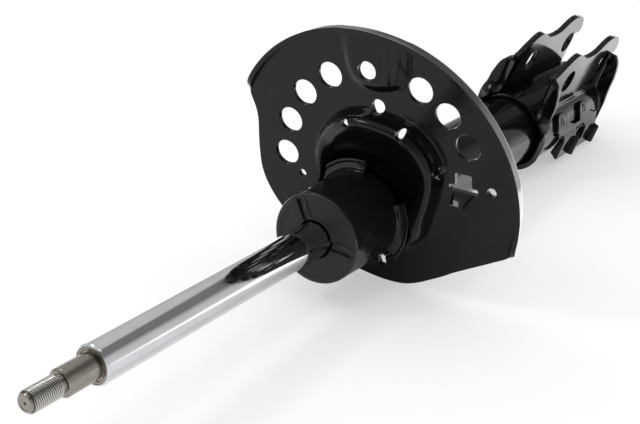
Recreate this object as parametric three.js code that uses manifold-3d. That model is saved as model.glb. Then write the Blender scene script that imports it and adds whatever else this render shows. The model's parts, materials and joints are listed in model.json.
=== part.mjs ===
// A suspension strut with an offset pressed spring seat and a two-bolt knuckle bracket.
// Millimetres. The strut is modelled along X: the rod's shoulder is at x = 0, its thread
// points to +X, the bracket is towards -X and the bracket's ears point up, to +Z. A "depth"
// is a distance from the shoulder towards the bracket. At the end the whole strut is laid
// down as it rests on a flat surface, z = 0: on the rim of its spring seat and on the sleeve
// of its bracket, rolled so that the ears lean away from the +Y side.
import * as THREE from "three";
import { mergeVertices } from "three/addons/utils/BufferGeometryUtils.js";
import Module from "manifold-3d";

// ---- driving dimensions ----
const GAP = 0.3; // clearance between pieces that touch
const SIDES = 36; // sides of a large round piece
const SMALL_SIDES = 24; // sides of a small round piece

const ROD_RADIUS = 11;
const ROD_EXPOSED = 189.5; // shoulder to the dust cap, with the rod fully out
const SHANK_RADIUS = 7.5;
const SHANK_LENGTH = 21.5;
const UNDERCUT_LENGTH = 1.8;
const THREAD_RADIUS = 6;
const THREAD_PITCH = 1.25;
const THREAD_LENGTH = 20.5;
const PISTON_SPIGOT = 6; // radius of the rod's inner end, inside the piston
const PISTON_LENGTH = 14;
const ROD_ANNULUS = 5; // oil space between the rod and the pressure tube

const TUBE_RADIUS = 25.4;
const TUBE_WALL = 2.5;
const TUBE_LENGTH = 362.5;
const PRESSURE_TUBE_WALL = 1.5;

const CAP_WALL = 2.6;
const CAP_SKIRT_STEP = 0.4; // the skirt is this much wider than the cap's face
const CAP_FACE = 4; // thickness of the cap's face
const CAP_LENGTH = 50.5;
const CAP_EDGE = 3; // rounding of the cap's front edge
const CAP_LIPS = 3;
const CAP_LIP_ANGLE = 14; // degrees from +Y towards +Z
const CAP_LIP_SPREAD = 62; // degrees covered by each lip
const CAP_LIP_REACH = 7.6;
const CAP_LIP_THICKNESS = 2.4;
const CAP_GROOVE_WIDTH = 5.3;
const CAP_GROOVE_DEPTH = 1.6;

const SEAT_SHEET = 2.9;
const SEAT_PITCH = THREE.MathUtils.degToRad(8.55); // the seat's top leans towards the rod
const SEAT_YAW = THREE.MathUtils.degToRad(3.57);
const SEAT_CENTRE = [2, 33]; // centre of the elliptical rim, in the seat's plane
const SEAT_HALF_WIDTH = 97.5;
const SEAT_HALF_HEIGHT = 94;
const SEAT_LOWER_REACH = 13.6; // from the tube down to the seat's lower edge
const RIM_HEIGHT = 7;
const HUMP_HEIGHT = 16;
const WELL_DEPTH = 9;
const WELL_WIDTH = 12.8; // from the tube to the well's wall
const COLLAR_LENGTH = 7;
const LIGHTENING_RADIUS = 7.9;

const EAR_SHEET = 4;
const EAR_SLOT = 28; // clear width between the ears
const EAR_HOLE_RADIUS = 8.5;
const EAR_HOLE_HEIGHT = 45; // strut's axis to the bolt holes
const EAR_HOLE_SPACING = 64;
const BRACKET_FRONT_MARGIN = 35; // front bolt hole to the bracket's front
const BRACKET_REAR_MARGIN = 13;
const BRACKET_SETBACK = 7; // bracket's rear to the strut's closed end
const SLEEVE_WALL = 3.3;
const FLANGE_SHEET = 3.6;
const LUG_SHEET = 2.4;

const REST_ROLL = THREE.MathUtils.degToRad(20.4); // lean of the ears at rest

// ---- worked-out sizes and depths ----
const TUBE_BORE = TUBE_RADIUS - TUBE_WALL;
const OVER_TUBE = TUBE_RADIUS + GAP; // bore of what is fitted on the tube
const PRESSURE_TUBE_BORE = ROD_RADIUS + ROD_ANNULUS;
const CAP_FRONT = ROD_EXPOSED;
const CAP_BACK = CAP_FRONT + CAP_LENGTH;
const SEAT_DEPTH = CAP_BACK; // where the seat's plane crosses the strut's axis
const TUBE_START = CAP_FRONT + CAP_FACE + GAP;
const TUBE_END = TUBE_START + TUBE_LENGTH;
const RETAINER_START = TUBE_START + 0.4;
const RETAINER_LENGTH = 4;
const SEAL_START = RETAINER_START + RETAINER_LENGTH + GAP;
const SEAL_LENGTH = 5.2;
const GUIDE_START = SEAL_START + SEAL_LENGTH + GAP;
const GUIDE_FLANGE = 10;
const GUIDE_END = GUIDE_START + 18;
const BUSH_WALL = 1.5;
const REBOUND_START = GUIDE_END + GAP;
const REBOUND_RUBBER_LENGTH = 4;
const REBOUND_RING_START = REBOUND_START + REBOUND_RUBBER_LENGTH + GAP;
const REBOUND_RING_LENGTH = 4.5;
const SPIGOT_START = REBOUND_RING_START + REBOUND_RING_LENGTH + 20;
const SHIM_START = SPIGOT_START + GAP;
const SHIM_LENGTH = 2;
const PISTON_START = SHIM_START + SHIM_LENGTH + GAP;
const PISTON_END = PISTON_START + PISTON_LENGTH;
const CHECK_START = PISTON_END + GAP;
const CHECK_LENGTH = 1.6;
const NUT_START = CHECK_START + CHECK_LENGTH + GAP;
const NUT_LENGTH = 9;
const ROD_END = NUT_START + NUT_LENGTH + 3;
const BAND_WALL = 1.2;
const BAND_RADIUS = PRESSURE_TUBE_BORE - GAP;
const BAND_LENGTH = PISTON_LENGTH / 2;
const BAND_START = PISTON_START + (PISTON_LENGTH - BAND_LENGTH) / 2;
const BASE_CAP_START = TUBE_END - 8;
const VALVE_END = BASE_CAP_START - GAP;
const VALVE_START = VALVE_END - 7;
const VALVE_SPIGOT_START = VALVE_START - 6;
const INTAKE_LENGTH = 1.5;
const INTAKE_START = VALVE_SPIGOT_START - GAP - INTAKE_LENGTH;
const VALVE_PIN_RADIUS = 3;
const BRACKET_END = TUBE_END - BRACKET_SETBACK;
const REAR_HOLE = BRACKET_END - BRACKET_REAR_MARGIN;
const FRONT_HOLE = REAR_HOLE - EAR_HOLE_SPACING;
const BRACKET_START = FRONT_HOLE - BRACKET_FRONT_MARGIN;
const SLEEVE_RADIUS = OVER_TUBE + SLEEVE_WALL;
const EAR_INNER = EAR_SLOT / 2;
const EAR_OUTER = EAR_INNER + EAR_SHEET;

const wasm = await Module();
wasm.setup();

// ---- solids ----

// A closed geometry as a manifold-3d solid.
function solidOf(geometry) {
  const bare = geometry.clone();
  bare.deleteAttribute("normal");
  bare.deleteAttribute("uv");
  const merged = mergeVertices(bare, 1e-4);
  return new wasm.Manifold(
    new wasm.Mesh({
      numProp: 3,
      vertProperties: merged.attributes.position.array,
      triVerts: new Uint32Array(merged.index.array),
    }),
  );
}

// A manifold-3d solid as a geometry.
function geometryOf(solid) {
  const mesh = solid.getMesh();
  const geometry = new THREE.BufferGeometry();
  geometry.setAttribute("position", new THREE.BufferAttribute(mesh.vertProperties.slice(), 3));
  geometry.setIndex(new THREE.BufferAttribute(mesh.triVerts.slice(), 1));
  geometry.computeVertexNormals();
  return geometry;
}

const joined = (first, ...rest) => rest.reduce((sum, next) => sum.add(next), first);
const cut = (first, ...rest) => rest.reduce((sum, next) => sum.subtract(next), first);

// A body of revolution about the strut's axis. The profile is a list of [depth, radius]: it
// closes on itself, or it starts and ends on the axis.
function turned(profile, sides = SIDES) {
  const points = profile.map(([depth, radius]) => new THREE.Vector2(radius, depth));
  if (THREE.ShapeUtils.isClockWise(points)) points.reverse();
  if (points[0].x > 0) points.push(points[0].clone());
  return new THREE.LatheGeometry(points, sides).rotateZ(Math.PI / 2);
}

const ring = (start, end, inner, outer, sides) =>
  turned([[start, inner], [end, inner], [end, outer], [start, outer]], sides);

const bar = (start, end, radius, sides) =>
  turned([[start, 0], [start, radius], [end, radius], [end, 0]], sides);

const shapeOf = (points) => new THREE.Shape(points.map(([x, y]) => new THREE.Vector2(x, y)));

// A shape drawn in [y, z], extruded from one depth to another.
function extrudedAlongStrut(shape, start, end) {
  const turn = new THREE.Matrix4().makeBasis(
    new THREE.Vector3(0, 1, 0),
    new THREE.Vector3(0, 0, 1),
    new THREE.Vector3(1, 0, 0),
  );
  const options = { depth: end - start, bevelEnabled: false, curveSegments: 6 };
  return new THREE.ExtrudeGeometry(shape, options).applyMatrix4(turn).translate(-end, 0, 0);
}

// A shape drawn in [x, z], extruded from one y to another.
function extrudedAcross(shape, low, high) {
  const options = { depth: high - low, bevelEnabled: false, curveSegments: 6 };
  return new THREE.ExtrudeGeometry(shape, options).rotateX(Math.PI / 2).translate(0, high, 0);
}

// Copies of a geometry spaced evenly round the strut's axis, as solids.
function solidsAround(geometry, count, firstAngle = 0) {
  return Array.from({ length: count }, (_, i) =>
    solidOf(geometry.clone().rotateX(firstAngle + (2 * Math.PI * i) / count)));
}

// ---- materials ----
const finish = (color, roughness, metalness) =>
  new THREE.MeshStandardMaterial({ color, roughness, metalness });
const blackPaint = () => finish(0x131315, 0.18, 0);
const chrome = () => finish(0xc9ccd0, 0.07, 1);
const steel = () => finish(0x8b8e92, 0.35, 1);
const sintered = () => finish(0x56585b, 0.6, 0.8);
const charcoalPlastic = () => finish(0x2b2b2c, 0.55, 0);
const rubber = () => finish(0x151515, 0.8, 0);
const bronze = () => finish(0x8a6a3c, 0.45, 0.9);

function piece(name, geometry, material) {
  const mesh = new THREE.Mesh(geometry, material);
  mesh.name = name;
  return mesh;
}

// ---- the rod and what is fixed to it ----

// A right-hand vee thread as a closed surface: crest and root lines wind side by side, and
// each end is closed to a point on the axis.
function threadGeometry(start, end, crest, root, pitch) {
  const steps = 14;
  const rows = 2 * Math.round((end - start) / pitch);
  const positions = [];
  for (let row = 0; row <= rows; row++) {
    for (let i = 0; i < steps; i++) {
      const angle = (2 * Math.PI * i) / steps;
      const radius = row % 2 ? crest : root;
      const x = -end + pitch * (row / 2 + i / steps);
      positions.push(x, radius * Math.cos(angle), radius * Math.sin(angle));
    }
  }
  const vertex = (row, i) => (i < steps ? row * steps + i : (row + 2) * steps);
  const index = [];
  for (let row = 0; row < rows - 2; row++) {
    for (let i = 0; i < steps; i++) {
      const [a, b] = [vertex(row, i), vertex(row, i + 1)];
      const [c, d] = [vertex(row + 1, i + 1), vertex(row + 1, i)];
      index.push(a, b, c, a, c, d);
    }
  }
  const lastRow = rows - 2;
  const firstEdge = Array.from({ length: steps }, (_, i) => vertex(0, i));
  const lastEdge = Array.from({ length: steps }, (_, i) => vertex(lastRow, i));
  const foot = positions.length / 3;
  positions.push(-end, 0, 0, -start + 1, 0, 0);
  [...firstEdge, vertex(2, 0), vertex(1, 0)].forEach((from, i, edge) => {
    index.push(foot, edge[(i + 1) % edge.length], from);
  });
  [...lastEdge, vertex(lastRow + 2, 0), vertex(lastRow + 1, 0)].forEach((from, i, edge) => {
    index.push(foot + 1, from, edge[(i + 1) % edge.length]);
  });
  const geometry = new THREE.BufferGeometry();
  geometry.setAttribute("position", new THREE.Float32BufferAttribute(positions, 3));
  geometry.setIndex(index);
  return geometry;
}

function pistonRod() {
  const chamfer = 0.8;
  const threadStart = -SHANK_LENGTH - UNDERCUT_LENGTH;
  const tip = threadStart - THREAD_LENGTH;
  const root = THREAD_RADIUS - 0.61 * THREAD_PITCH;
  const core = root - 0.6; // inside the thread's own surface
  const body = solidOf(turned([
    [ROD_END, 0],
    [ROD_END, PISTON_SPIGOT - chamfer],
    [ROD_END - chamfer, PISTON_SPIGOT],
    [SPIGOT_START, PISTON_SPIGOT],
    [SPIGOT_START, ROD_RADIUS],
    [chamfer, ROD_RADIUS],
    [0, ROD_RADIUS - chamfer],
    [0, SHANK_RADIUS],
    [chamfer - SHANK_LENGTH, SHANK_RADIUS],
    [-SHANK_LENGTH, SHANK_RADIUS - chamfer],
    [-SHANK_LENGTH, root - 0.2],
    [threadStart - 0.5, root - 0.2],
    [threadStart - 0.5, core],
    [tip, core],
    [tip, 0],
  ], SMALL_SIDES));
  const thread = solidOf(
    threadGeometry(tip - 2 * THREAD_PITCH, threadStart + THREAD_PITCH, THREAD_RADIUS, root, THREAD_PITCH),
  );
  // What is left of the thread between its undercut and its chamfered tip.
  const envelope = solidOf(turned([
    [tip, 0],
    [tip, root - 0.4],
    [tip + 2, THREAD_RADIUS + 0.2],
    [threadStart - 1, THREAD_RADIUS + 0.2],
    [threadStart, root - 0.4],
    [threadStart, 0],
  ], SMALL_SIDES));
  return geometryOf(joined(body, thread.intersect(envelope)));
}

function reboundRubber() {
  const end = REBOUND_START + REBOUND_RUBBER_LENGTH;
  const outer = PRESSURE_TUBE_BORE - 4 * GAP;
  return turned([
    [REBOUND_START, ROD_RADIUS + GAP],
    [end, ROD_RADIUS + GAP],
    [end, outer],
    [REBOUND_START + 1, outer],
    [REBOUND_START, outer - 1],
  ], SMALL_SIDES);
}

function reboundRing() {
  const end = REBOUND_RING_START + REBOUND_RING_LENGTH;
  return ring(REBOUND_RING_START, end, ROD_RADIUS + GAP, PRESSURE_TUBE_BORE - 3 * GAP, SMALL_SIDES);
}

// Two shims of different size under the piston, as one stack.
function reboundShims() {
  const bore = PISTON_SPIGOT + GAP;
  const middle = SHIM_START + SHIM_LENGTH / 2;
  const end = SHIM_START + SHIM_LENGTH;
  return turned([
    [SHIM_START, bore],
    [end, bore],
    [end, PRESSURE_TUBE_BORE - 3],
    [middle, PRESSURE_TUBE_BORE - 3],
    [middle, PRESSURE_TUBE_BORE - 5.5],
    [SHIM_START, PRESSURE_TUBE_BORE - 5.5],
  ], SMALL_SIDES);
}

function piston() {
  const bore = PISTON_SPIGOT + GAP;
  const land = BAND_RADIUS - GAP;
  const groove = BAND_RADIUS - BAND_WALL - GAP;
  const grooveStart = BAND_START - GAP;
  const grooveEnd = BAND_START + BAND_LENGTH + GAP;
  const blank = solidOf(turned([
    [PISTON_START, bore],
    [PISTON_END, bore],
    [PISTON_END, land],
    [grooveEnd, land],
    [grooveEnd, groove],
    [grooveStart, groove],
    [grooveStart, land],
    [PISTON_START, land],
  ], SMALL_SIDES));
  const port = bar(PISTON_START - 1, PISTON_END + 1, 1.6, 10).translate(0, 0, (bore + groove) / 2);
  return geometryOf(cut(blank, ...solidsAround(port, 6)));
}

const pistonBand = () =>
  ring(BAND_START, BAND_START + BAND_LENGTH, BAND_RADIUS - BAND_WALL, BAND_RADIUS, SMALL_SIDES);

const checkDisc = () =>
  ring(CHECK_START, CHECK_START + CHECK_LENGTH, PISTON_SPIGOT + GAP, PRESSURE_TUBE_BORE - 2.5, SMALL_SIDES);

function pistonNut() {
  const hexagon = solidOf(bar(NUT_START, NUT_START + NUT_LENGTH, PISTON_SPIGOT + 3.8, 6));
  const bore = solidOf(bar(NUT_START - 1, NUT_START + NUT_LENGTH + 1, PISTON_SPIGOT + GAP, SMALL_SIDES));
  return geometryOf(cut(hexagon, bore));
}

// ---- the tube and what is inside it ----

const outerTube = () => ring(TUBE_START, TUBE_END, TUBE_BORE, TUBE_RADIUS);

function baseCap() {
  const outer = TUBE_BORE - GAP;
  const wall = 3;
  const floor = TUBE_END - wall;
  return turned([
    [floor, 0],
    [floor, outer - wall - 4],
    [floor - 1.2, outer - wall - 1],
    [BASE_CAP_START, outer - wall],
    [BASE_CAP_START, outer],
    [floor, outer],
    [TUBE_END, outer - wall],
    [TUBE_END, 0],
  ]);
}

const retainerRing = () =>
  ring(RETAINER_START, RETAINER_START + RETAINER_LENGTH, ROD_RADIUS + 3, TUBE_BORE - GAP);

// The seal touches the rod with a lip at each end of a hollowed bore.
function oilSeal() {
  const end = SEAL_START + SEAL_LENGTH;
  const lip = SEAL_LENGTH / 4;
  return turned([
    [SEAL_START, ROD_RADIUS + GAP],
    [SEAL_START + lip, ROD_RADIUS + GAP],
    [SEAL_START + 2 * lip, ROD_RADIUS + 2],
    [end - lip, ROD_RADIUS + GAP],
    [end, ROD_RADIUS + GAP],
    [end, TUBE_BORE - GAP],
    [SEAL_START, TUBE_BORE - GAP],
  ]);
}

function rodGuide() {
  const bore = ROD_RADIUS + BUSH_WALL + 2 * GAP;
  const step = GUIDE_START + GUIDE_FLANGE;
  return turned([
    [GUIDE_START, bore],
    [GUIDE_END, bore],
    [GUIDE_END, PRESSURE_TUBE_BORE - GAP],
    [step, PRESSURE_TUBE_BORE - GAP],
    [step, TUBE_BORE - GAP],
    [GUIDE_START, TUBE_BORE - GAP],
  ]);
}

const guideBush = () =>
  ring(GUIDE_START + 1, GUIDE_END - 0.5, ROD_RADIUS + GAP, ROD_RADIUS + GAP + BUSH_WALL);

const pressureTube = () =>
  ring(
    GUIDE_START + GUIDE_FLANGE + GAP,
    VALVE_START - GAP,
    PRESSURE_TUBE_BORE,
    PRESSURE_TUBE_BORE + PRESSURE_TUBE_WALL,
  );

function baseValveBody() {
  const blank = solidOf(turned([
    [VALVE_SPIGOT_START, VALVE_PIN_RADIUS + GAP],
    [VALVE_END, VALVE_PIN_RADIUS + GAP],
    [VALVE_END, TUBE_BORE - GAP],
    [VALVE_START, TUBE_BORE - GAP],
    [VALVE_START, PRESSURE_TUBE_BORE - GAP],
    [VALVE_SPIGOT_START, PRESSURE_TUBE_BORE - GAP],
  ]));
  const port = bar(VALVE_SPIGOT_START - 1, VALVE_END + 1, 1.8, 10)
    .translate(0, 0, (VALVE_PIN_RADIUS + PRESSURE_TUBE_BORE) / 2);
  return geometryOf(cut(blank, ...solidsAround(port, 4, Math.PI / 4)));
}

function intakeDisc() {
  const end = INTAKE_START + INTAKE_LENGTH;
  return ring(INTAKE_START, end, VALVE_PIN_RADIUS + GAP, PRESSURE_TUBE_BORE - 3, SMALL_SIDES);
}

// A headed pin that holds the intake disc against the valve body.
function valvePin() {
  const underHead = INTAKE_START - GAP;
  return turned([
    [underHead - 2.5, 0],
    [underHead - 2.5, 2 * VALVE_PIN_RADIUS],
    [underHead, 2 * VALVE_PIN_RADIUS],
    [underHead, VALVE_PIN_RADIUS],
    [VALVE_END, VALVE_PIN_RADIUS],
    [VALVE_END, 0],
  ], SMALL_SIDES);
}

// ---- the dust cap over the tube's end ----

function dustCap() {
  const hole = ROD_RADIUS + 0.8;
  const face = OVER_TUBE + CAP_WALL;
  const skirt = face + CAP_SKIRT_STEP;
  const edge = [0, 0.25, 0.5, 0.75, 1].map((share) => {
    const angle = (share * Math.PI) / 2;
    return [CAP_FRONT + CAP_EDGE * (1 - Math.sin(angle)), face - CAP_EDGE * (1 - Math.cos(angle))];
  });
  const shell = solidOf(turned([
    [CAP_FRONT, hole],
    [CAP_FRONT + CAP_FACE, hole],
    [CAP_FRONT + CAP_FACE, OVER_TUBE],
    [CAP_BACK, OVER_TUBE],
    [CAP_BACK, skirt],
    ...edge,
  ]));
  // Each lip is a share of a flat ring round the skirt's end.
  const first = THREE.MathUtils.degToRad(CAP_LIP_ANGLE);
  const half = THREE.MathUtils.degToRad(CAP_LIP_SPREAD / 2);
  const lip = new THREE.Shape();
  lip.absarc(0, 0, skirt + CAP_LIP_REACH, -half, half, false);
  lip.absarc(0, 0, skirt - 1, half, -half, true);
  const firstLip = extrudedAlongStrut(lip, CAP_BACK - CAP_LIP_THICKNESS, CAP_BACK);
  const lips = solidsAround(firstLip, CAP_LIPS, first);
  // A shallow groove runs out across the face in line with each lip.
  const length = face - CAP_EDGE - hole + 3;
  const groove = new THREE.BoxGeometry(2 * CAP_GROOVE_DEPTH, length, CAP_GROOVE_WIDTH)
    .translate(-CAP_FRONT, face - CAP_EDGE - length / 2, 0);
  return geometryOf(cut(joined(shell, ...lips), ...solidsAround(groove, CAP_LIPS, first)));
}

// ---- the spring seat, a pressed sheet, drawn in its own plane ----
// In the seat's plane the first axis points to the strut's +Y side, the second to its +Z
// side and the third towards the rod. The strut's axis crosses the plane at the origin.

// The outline: an elliptical rim over the top, a corner at each end of the rim, and a lower
// edge that passes close under the tube.
function seatOutline() {
  const [cx, cy] = SEAT_CENTRE;
  const low = TUBE_RADIUS + SEAT_LOWER_REACH;
  const outline = new THREE.Path();
  const left = THREE.MathUtils.degToRad(177);
  const right = THREE.MathUtils.degToRad(12);
  outline.absellipse(cx, cy, SEAT_HALF_WIDTH, SEAT_HALF_HEIGHT, left, right, true, 0);
  outline.lineTo(cx + SEAT_HALF_WIDTH, cy + 2.5);
  outline.lineTo(54, 20 - low);
  outline.splineThru([
    [44, 11 - low], [27, 4 - low], [0, -low], [-28, 2 - low], [-52, 11 - low],
    [-70, 26 - low], [-79, 46 - low], [-85, 66 - low], [-91, cy + 2],
  ].map(([x, y]) => new THREE.Vector2(x, y)));
  outline.closePath();
  return outline.getPoints(24);
}

// The distance from the origin to the outline in a direction.
function reach(outline, angle) {
  const direction = new THREE.Vector2(Math.cos(angle), Math.sin(angle));
  const crossings = outline.map((start, i) => {
    const edge = outline[(i + 1) % outline.length].clone().sub(start);
    const slant = direction.cross(edge);
    const share = start.cross(direction) / slant;
    return share >= 0 && share <= 1 ? start.cross(edge) / slant : 0;
  });
  return Math.max(...crossings);
}

// A value at any angle, eased between a few [degrees, value] pairs round the circle.
function roundTheCircle(pairs) {
  return (degrees) => {
    const after = pairs.findIndex(([angle]) => angle > degrees);
    const [toAngle, to] = pairs[Math.max(after, 0)];
    const [fromAngle, from] = pairs[(after > 0 ? after : pairs.length) - 1];
    const span = THREE.MathUtils.euclideanModulo(toAngle - fromAngle, 360);
    const share = THREE.MathUtils.euclideanModulo(degrees - fromAngle, 360) / span;
    return from + (to - from) * share * (0.4 + 0.6 * (3 - 2 * share) * share);
  };
}

// From the tube to the rim of the hump that rises round the cap, by angle.
const humpReach = roundTheCircle([
  [0, 16.1], [15, 19.6], [31, 28.1], [45, 37.6], [58, 45.6], [70, 49.1], [82, 50.1], [94, 47.6],
  [106, 45.6], [118, 40.1], [127, 31.1], [138, 20.6], [150, 17.1], [180, 16.1], [235, 15.6],
  [270, 9.1], [310, 10.6], [335, 15.6],
]);
// The hump's share of its full height, by angle: it fades out under the tube.
const humpShare = roundTheCircle([
  [0, 0.55], [20, 1], [165, 1], [200, 0.35], [225, 0], [318, 0], [340, 0.15],
]);
// The well's width between the tube and the hump, narrower under the tube.
const wellShare = roundTheCircle([[0, 1], [225, 1], [250, 0.55], [310, 0.55], [335, 1]]);
// The outline's upturned edge runs from one corner over the top to the other.
const rimShare = roundTheCircle([[36, 0], [41, 1], [155, 1], [158, 0]]);
const SEAT_CORNERS = [19.7, 156.8];

// Rows of points over the sheet's middle surface, from the collar on the tube outwards.
function seatRows() {
  const outline = seatOutline();
  const count = 54;
  const lean = Math.atan(Math.hypot(Math.tan(SEAT_YAW), Math.tan(SEAT_PITCH)));
  const bore = (OVER_TUBE + 0.1) / Math.cos(lean) / Math.cos(Math.PI / count);
  const collar = bore + SEAT_SHEET / 2;
  const columns = Array.from({ length: count }, (_, i) => {
    const even = (360 * i) / count;
    const degrees = SEAT_CORNERS.find((corner) => Math.abs(even - corner) < 180 / count) ?? even;
    const angle = THREE.MathUtils.degToRad(degrees);
    const share = humpShare(degrees);
    const height = HUMP_HEIGHT * share;
    const well = TUBE_RADIUS + WELL_WIDTH * wellShare(degrees);
    const rim = TUBE_RADIUS + humpReach(degrees);
    const edge = reach(outline, angle);
    const room = THREE.MathUtils.smoothstep(edge - rim, 0, 18);
    const upturn = rimShare(degrees) * RIM_HEIGHT;
    // The rows near the tube are centred on the strut's axis, which leans in this frame.
    const onAxis = [
      [collar, -WELL_DEPTH - COLLAR_LENGTH],
      [collar, -WELL_DEPTH - 3],
      [collar + 1.6, -WELL_DEPTH - 0.6],
      [collar + 3.2, -WELL_DEPTH],
      [well - 1, -WELL_DEPTH],
      [well + 0.9, -WELL_DEPTH + 2],
    ].map(([radius, z]) => new THREE.Vector3(
      radius * Math.cos(angle) - z * Math.tan(SEAT_YAW),
      radius * Math.sin(angle) + z * Math.tan(SEAT_PITCH),
      z,
    ));
    // Where the lower edge is close to the tube there is no room for a hump or a flat: the
    // sheet only slopes up from the well to its edge.
    const slope = (radius) =>
      WELL_DEPTH * (THREE.MathUtils.smoothstep(radius, well - 2, edge + 1) - 1);
    const onPlane = [
      [rim - 3.2 * room, height - 3],
      [rim - 1.2 * room, height - 0.8 * (1 - share)],
      [rim + 1.6 * room, height - share],
      [rim + 4 * room, height * 0.25],
      [rim + 6.5 * room, 0],
      [edge - 5.5 * room, 0],
      [edge - 1.8 * room, upturn * 0.22],
      [edge, upturn],
    ].map(([radius, z]) => new THREE.Vector3(
      radius * Math.cos(angle),
      radius * Math.sin(angle),
      THREE.MathUtils.lerp(slope(radius), z, room),
    ));
    return [...onAxis, ...onPlane];
  });
  return columns[0].map((_, row) => columns.map((column) => column[row]));
}

// A closed sheet of even thickness over rows of points, each row closed on itself.
function sheetGeometry(rows, thickness) {
  const count = rows[0].length;
  const last = rows.length - 1;
  const rodSide = [];
  const farSide = [];
  rows.forEach((row, r) => row.forEach((point, i) => {
    const along = row[(i + 1) % count].clone().sub(row[(i + count - 1) % count]);
    const [inner, outer] = [Math.max(r, 1), Math.min(r + 1, last)].map((outerRow) =>
      rows[outerRow][i].clone().sub(rows[outerRow - 1][i]).cross(along).normalize());
    // A mitre between the two normals keeps the sheet's thickness on both sides of a bend.
    const mitre = inner.clone().add(outer).normalize();
    mitre.multiplyScalar(thickness / 2 / mitre.dot(inner));
    rodSide.push(point.clone().add(mitre));
    farSide.push(point.clone().sub(mitre));
  }));
  const far = rodSide.length;
  const index = [];
  const quad = (a, b, c, d) => index.push(a, b, c, a, c, d);
  for (let i = 0; i < count; i++) {
    const next = (i + 1) % count;
    for (let r = 0; r < last; r++) {
      const [a, b, c, d] = [r * count + i, (r + 1) * count + i, (r + 1) * count + next, r * count + next];
      quad(a, b, c, d);
      quad(d + far, c + far, b + far, a + far);
    }
    const edge = last * count;
    quad(i, next, next + far, i + far);
    quad(edge + next, edge + i, edge + i + far, edge + next + far);
  }
  const positions = [...rodSide, ...farSide].flatMap((point) => point.toArray());
  const geometry = new THREE.BufferGeometry();
  geometry.setAttribute("position", new THREE.Float32BufferAttribute(positions, 3));
  geometry.setIndex(index);
  return geometry;
}

// Round holes through the seat, as [first axis, second axis, radius].
const SEAT_HOLES = [
  [-57.8, 12.3, LIGHTENING_RADIUS],
  [-61.6, 35.7, LIGHTENING_RADIUS],
  [-57.5, 59.3, LIGHTENING_RADIUS],
  [-45.1, 79.7, LIGHTENING_RADIUS],
  [-22.9, 96.7, 5.6],
  [10.8, 102.4, LIGHTENING_RADIUS],
  [31.2, 96.7, LIGHTENING_RADIUS],
  [49, 85.3, LIGHTENING_RADIUS],
  [-43.7, 4.6, 2.6],
  [-9.9, 78.5, 4.4],
  [-21.9, 64, 2.6],
  [12.1, 76.3, 2.4],
  [39.7, 63.8, 2],
  [71.9, 67.1, 2.9],
];

function springSeat() {
  const tall = 80;
  const drills = SEAT_HOLES.map(([x, y, radius]) =>
    solidOf(new THREE.CylinderGeometry(radius, radius, tall, 16).rotateX(Math.PI / 2).translate(x, y, 0)));
  // The window lanced beside the hump: a square with a wider slot across its foot, and below
  // it the tab that was cut free there and bent out towards the rod.
  const window = shapeOf([
    [-5.4, -1.2], [-9.3, -1.2], [-9.3, -5], [9.3, -5], [9.3, -1.2], [5.4, -1.2], [5.4, 6.8], [-5.4, 6.8],
  ]);
  const tabLength = 10;
  const tabBend = THREE.MathUtils.degToRad(57);
  const [lance, tab] = [
    new THREE.ExtrudeGeometry(window, { depth: tall, bevelEnabled: false }).translate(0, 0, -tall / 2),
    new THREE.BoxGeometry(9, tabLength, SEAT_SHEET - 0.4)
      .translate(-0.6, -tabLength / 2, 0)
      .rotateX(-tabBend)
      .translate(0, -6, 0),
  ].map((shape) => solidOf(shape.rotateZ(THREE.MathUtils.degToRad(20)).translate(54.7, 61.5, 0)));
  const sheet = solidOf(sheetGeometry(seatRows(), SEAT_SHEET));
  return geometryOf(joined(cut(sheet, ...drills, lance), tab));
}

// The turn that lays the seat's frame across the strut.
function seatTurn() {
  const facing = new THREE.Vector3(1, Math.tan(SEAT_YAW), -Math.tan(SEAT_PITCH)).normalize();
  const upward = new THREE.Vector3(0, 0, 1).addScaledVector(facing, -facing.z).normalize();
  const sideways = upward.clone().cross(facing);
  return new THREE.Matrix4().makeBasis(sideways, upward, facing);
}

// ---- the knuckle bracket ----

// One ear from the side, in [x, z]: a rounded lobe over each bolt hole with a dip between
// them, and a foot that sinks into the sleeve.
function earShape() {
  const front = -FRONT_HOLE;
  const rear = -REAR_HOLE;
  const top = EAR_HOLE_HEIGHT;
  const foot = Math.sqrt(SLEEVE_RADIUS ** 2 - EAR_OUTER ** 2) - 4;
  const ear = new THREE.Shape();
  ear.moveTo(-BRACKET_START - 3, foot);
  ear.lineTo(-BRACKET_START - 3, top + 8);
  ear.bezierCurveTo(front + 22, top + 15, front + 14, top + 18, front + 10, top + 20);
  ear.bezierCurveTo(front + 4, top + 23.3, front - 4, top + 22.3, front - 10, top + 18.5);
  ear.bezierCurveTo(front - 17, top + 13.5, rear + 32, top + 13.8, rear + 25, top + 15.3);
  ear.bezierCurveTo(rear + 18, top + 17.5, rear + 12, top + 23.3, rear + 2, top + 22.3);
  ear.bezierCurveTo(rear - 8, top + 21.5, rear - 16, top + 17, rear - 18.5, top + 8.5);
  ear.bezierCurveTo(rear - 19, top + 2, rear - 12, top - 4, -BRACKET_END + 3, top - 14);
  ear.lineTo(-BRACKET_END + 3, foot);
  return ear;
}

// The turned-out edge of the +Y ear, in [y, z]: how far out it reaches and where it ends.
function flangeShape(out, low) {
  const top = EAR_HOLE_HEIGHT + 6;
  const flange = new THREE.Shape();
  flange.moveTo(EAR_INNER + 0.5, 20);
  flange.lineTo(EAR_INNER + 0.5, top);
  flange.bezierCurveTo(EAR_INNER + 4, top + 4, out - 7, top + 2, out - 3, top - 8);
  flange.bezierCurveTo(out, top - 16, out - 1, 32, out - 1.5, 26);
  flange.bezierCurveTo(out - 1, 18, SLEEVE_RADIUS + 2.5, 10, SLEEVE_RADIUS + 1, low);
  flange.lineTo(SLEEVE_RADIUS - 2, low - 4);
  flange.lineTo(SLEEVE_RADIUS - 2.4, 8);
  return flange;
}

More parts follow.
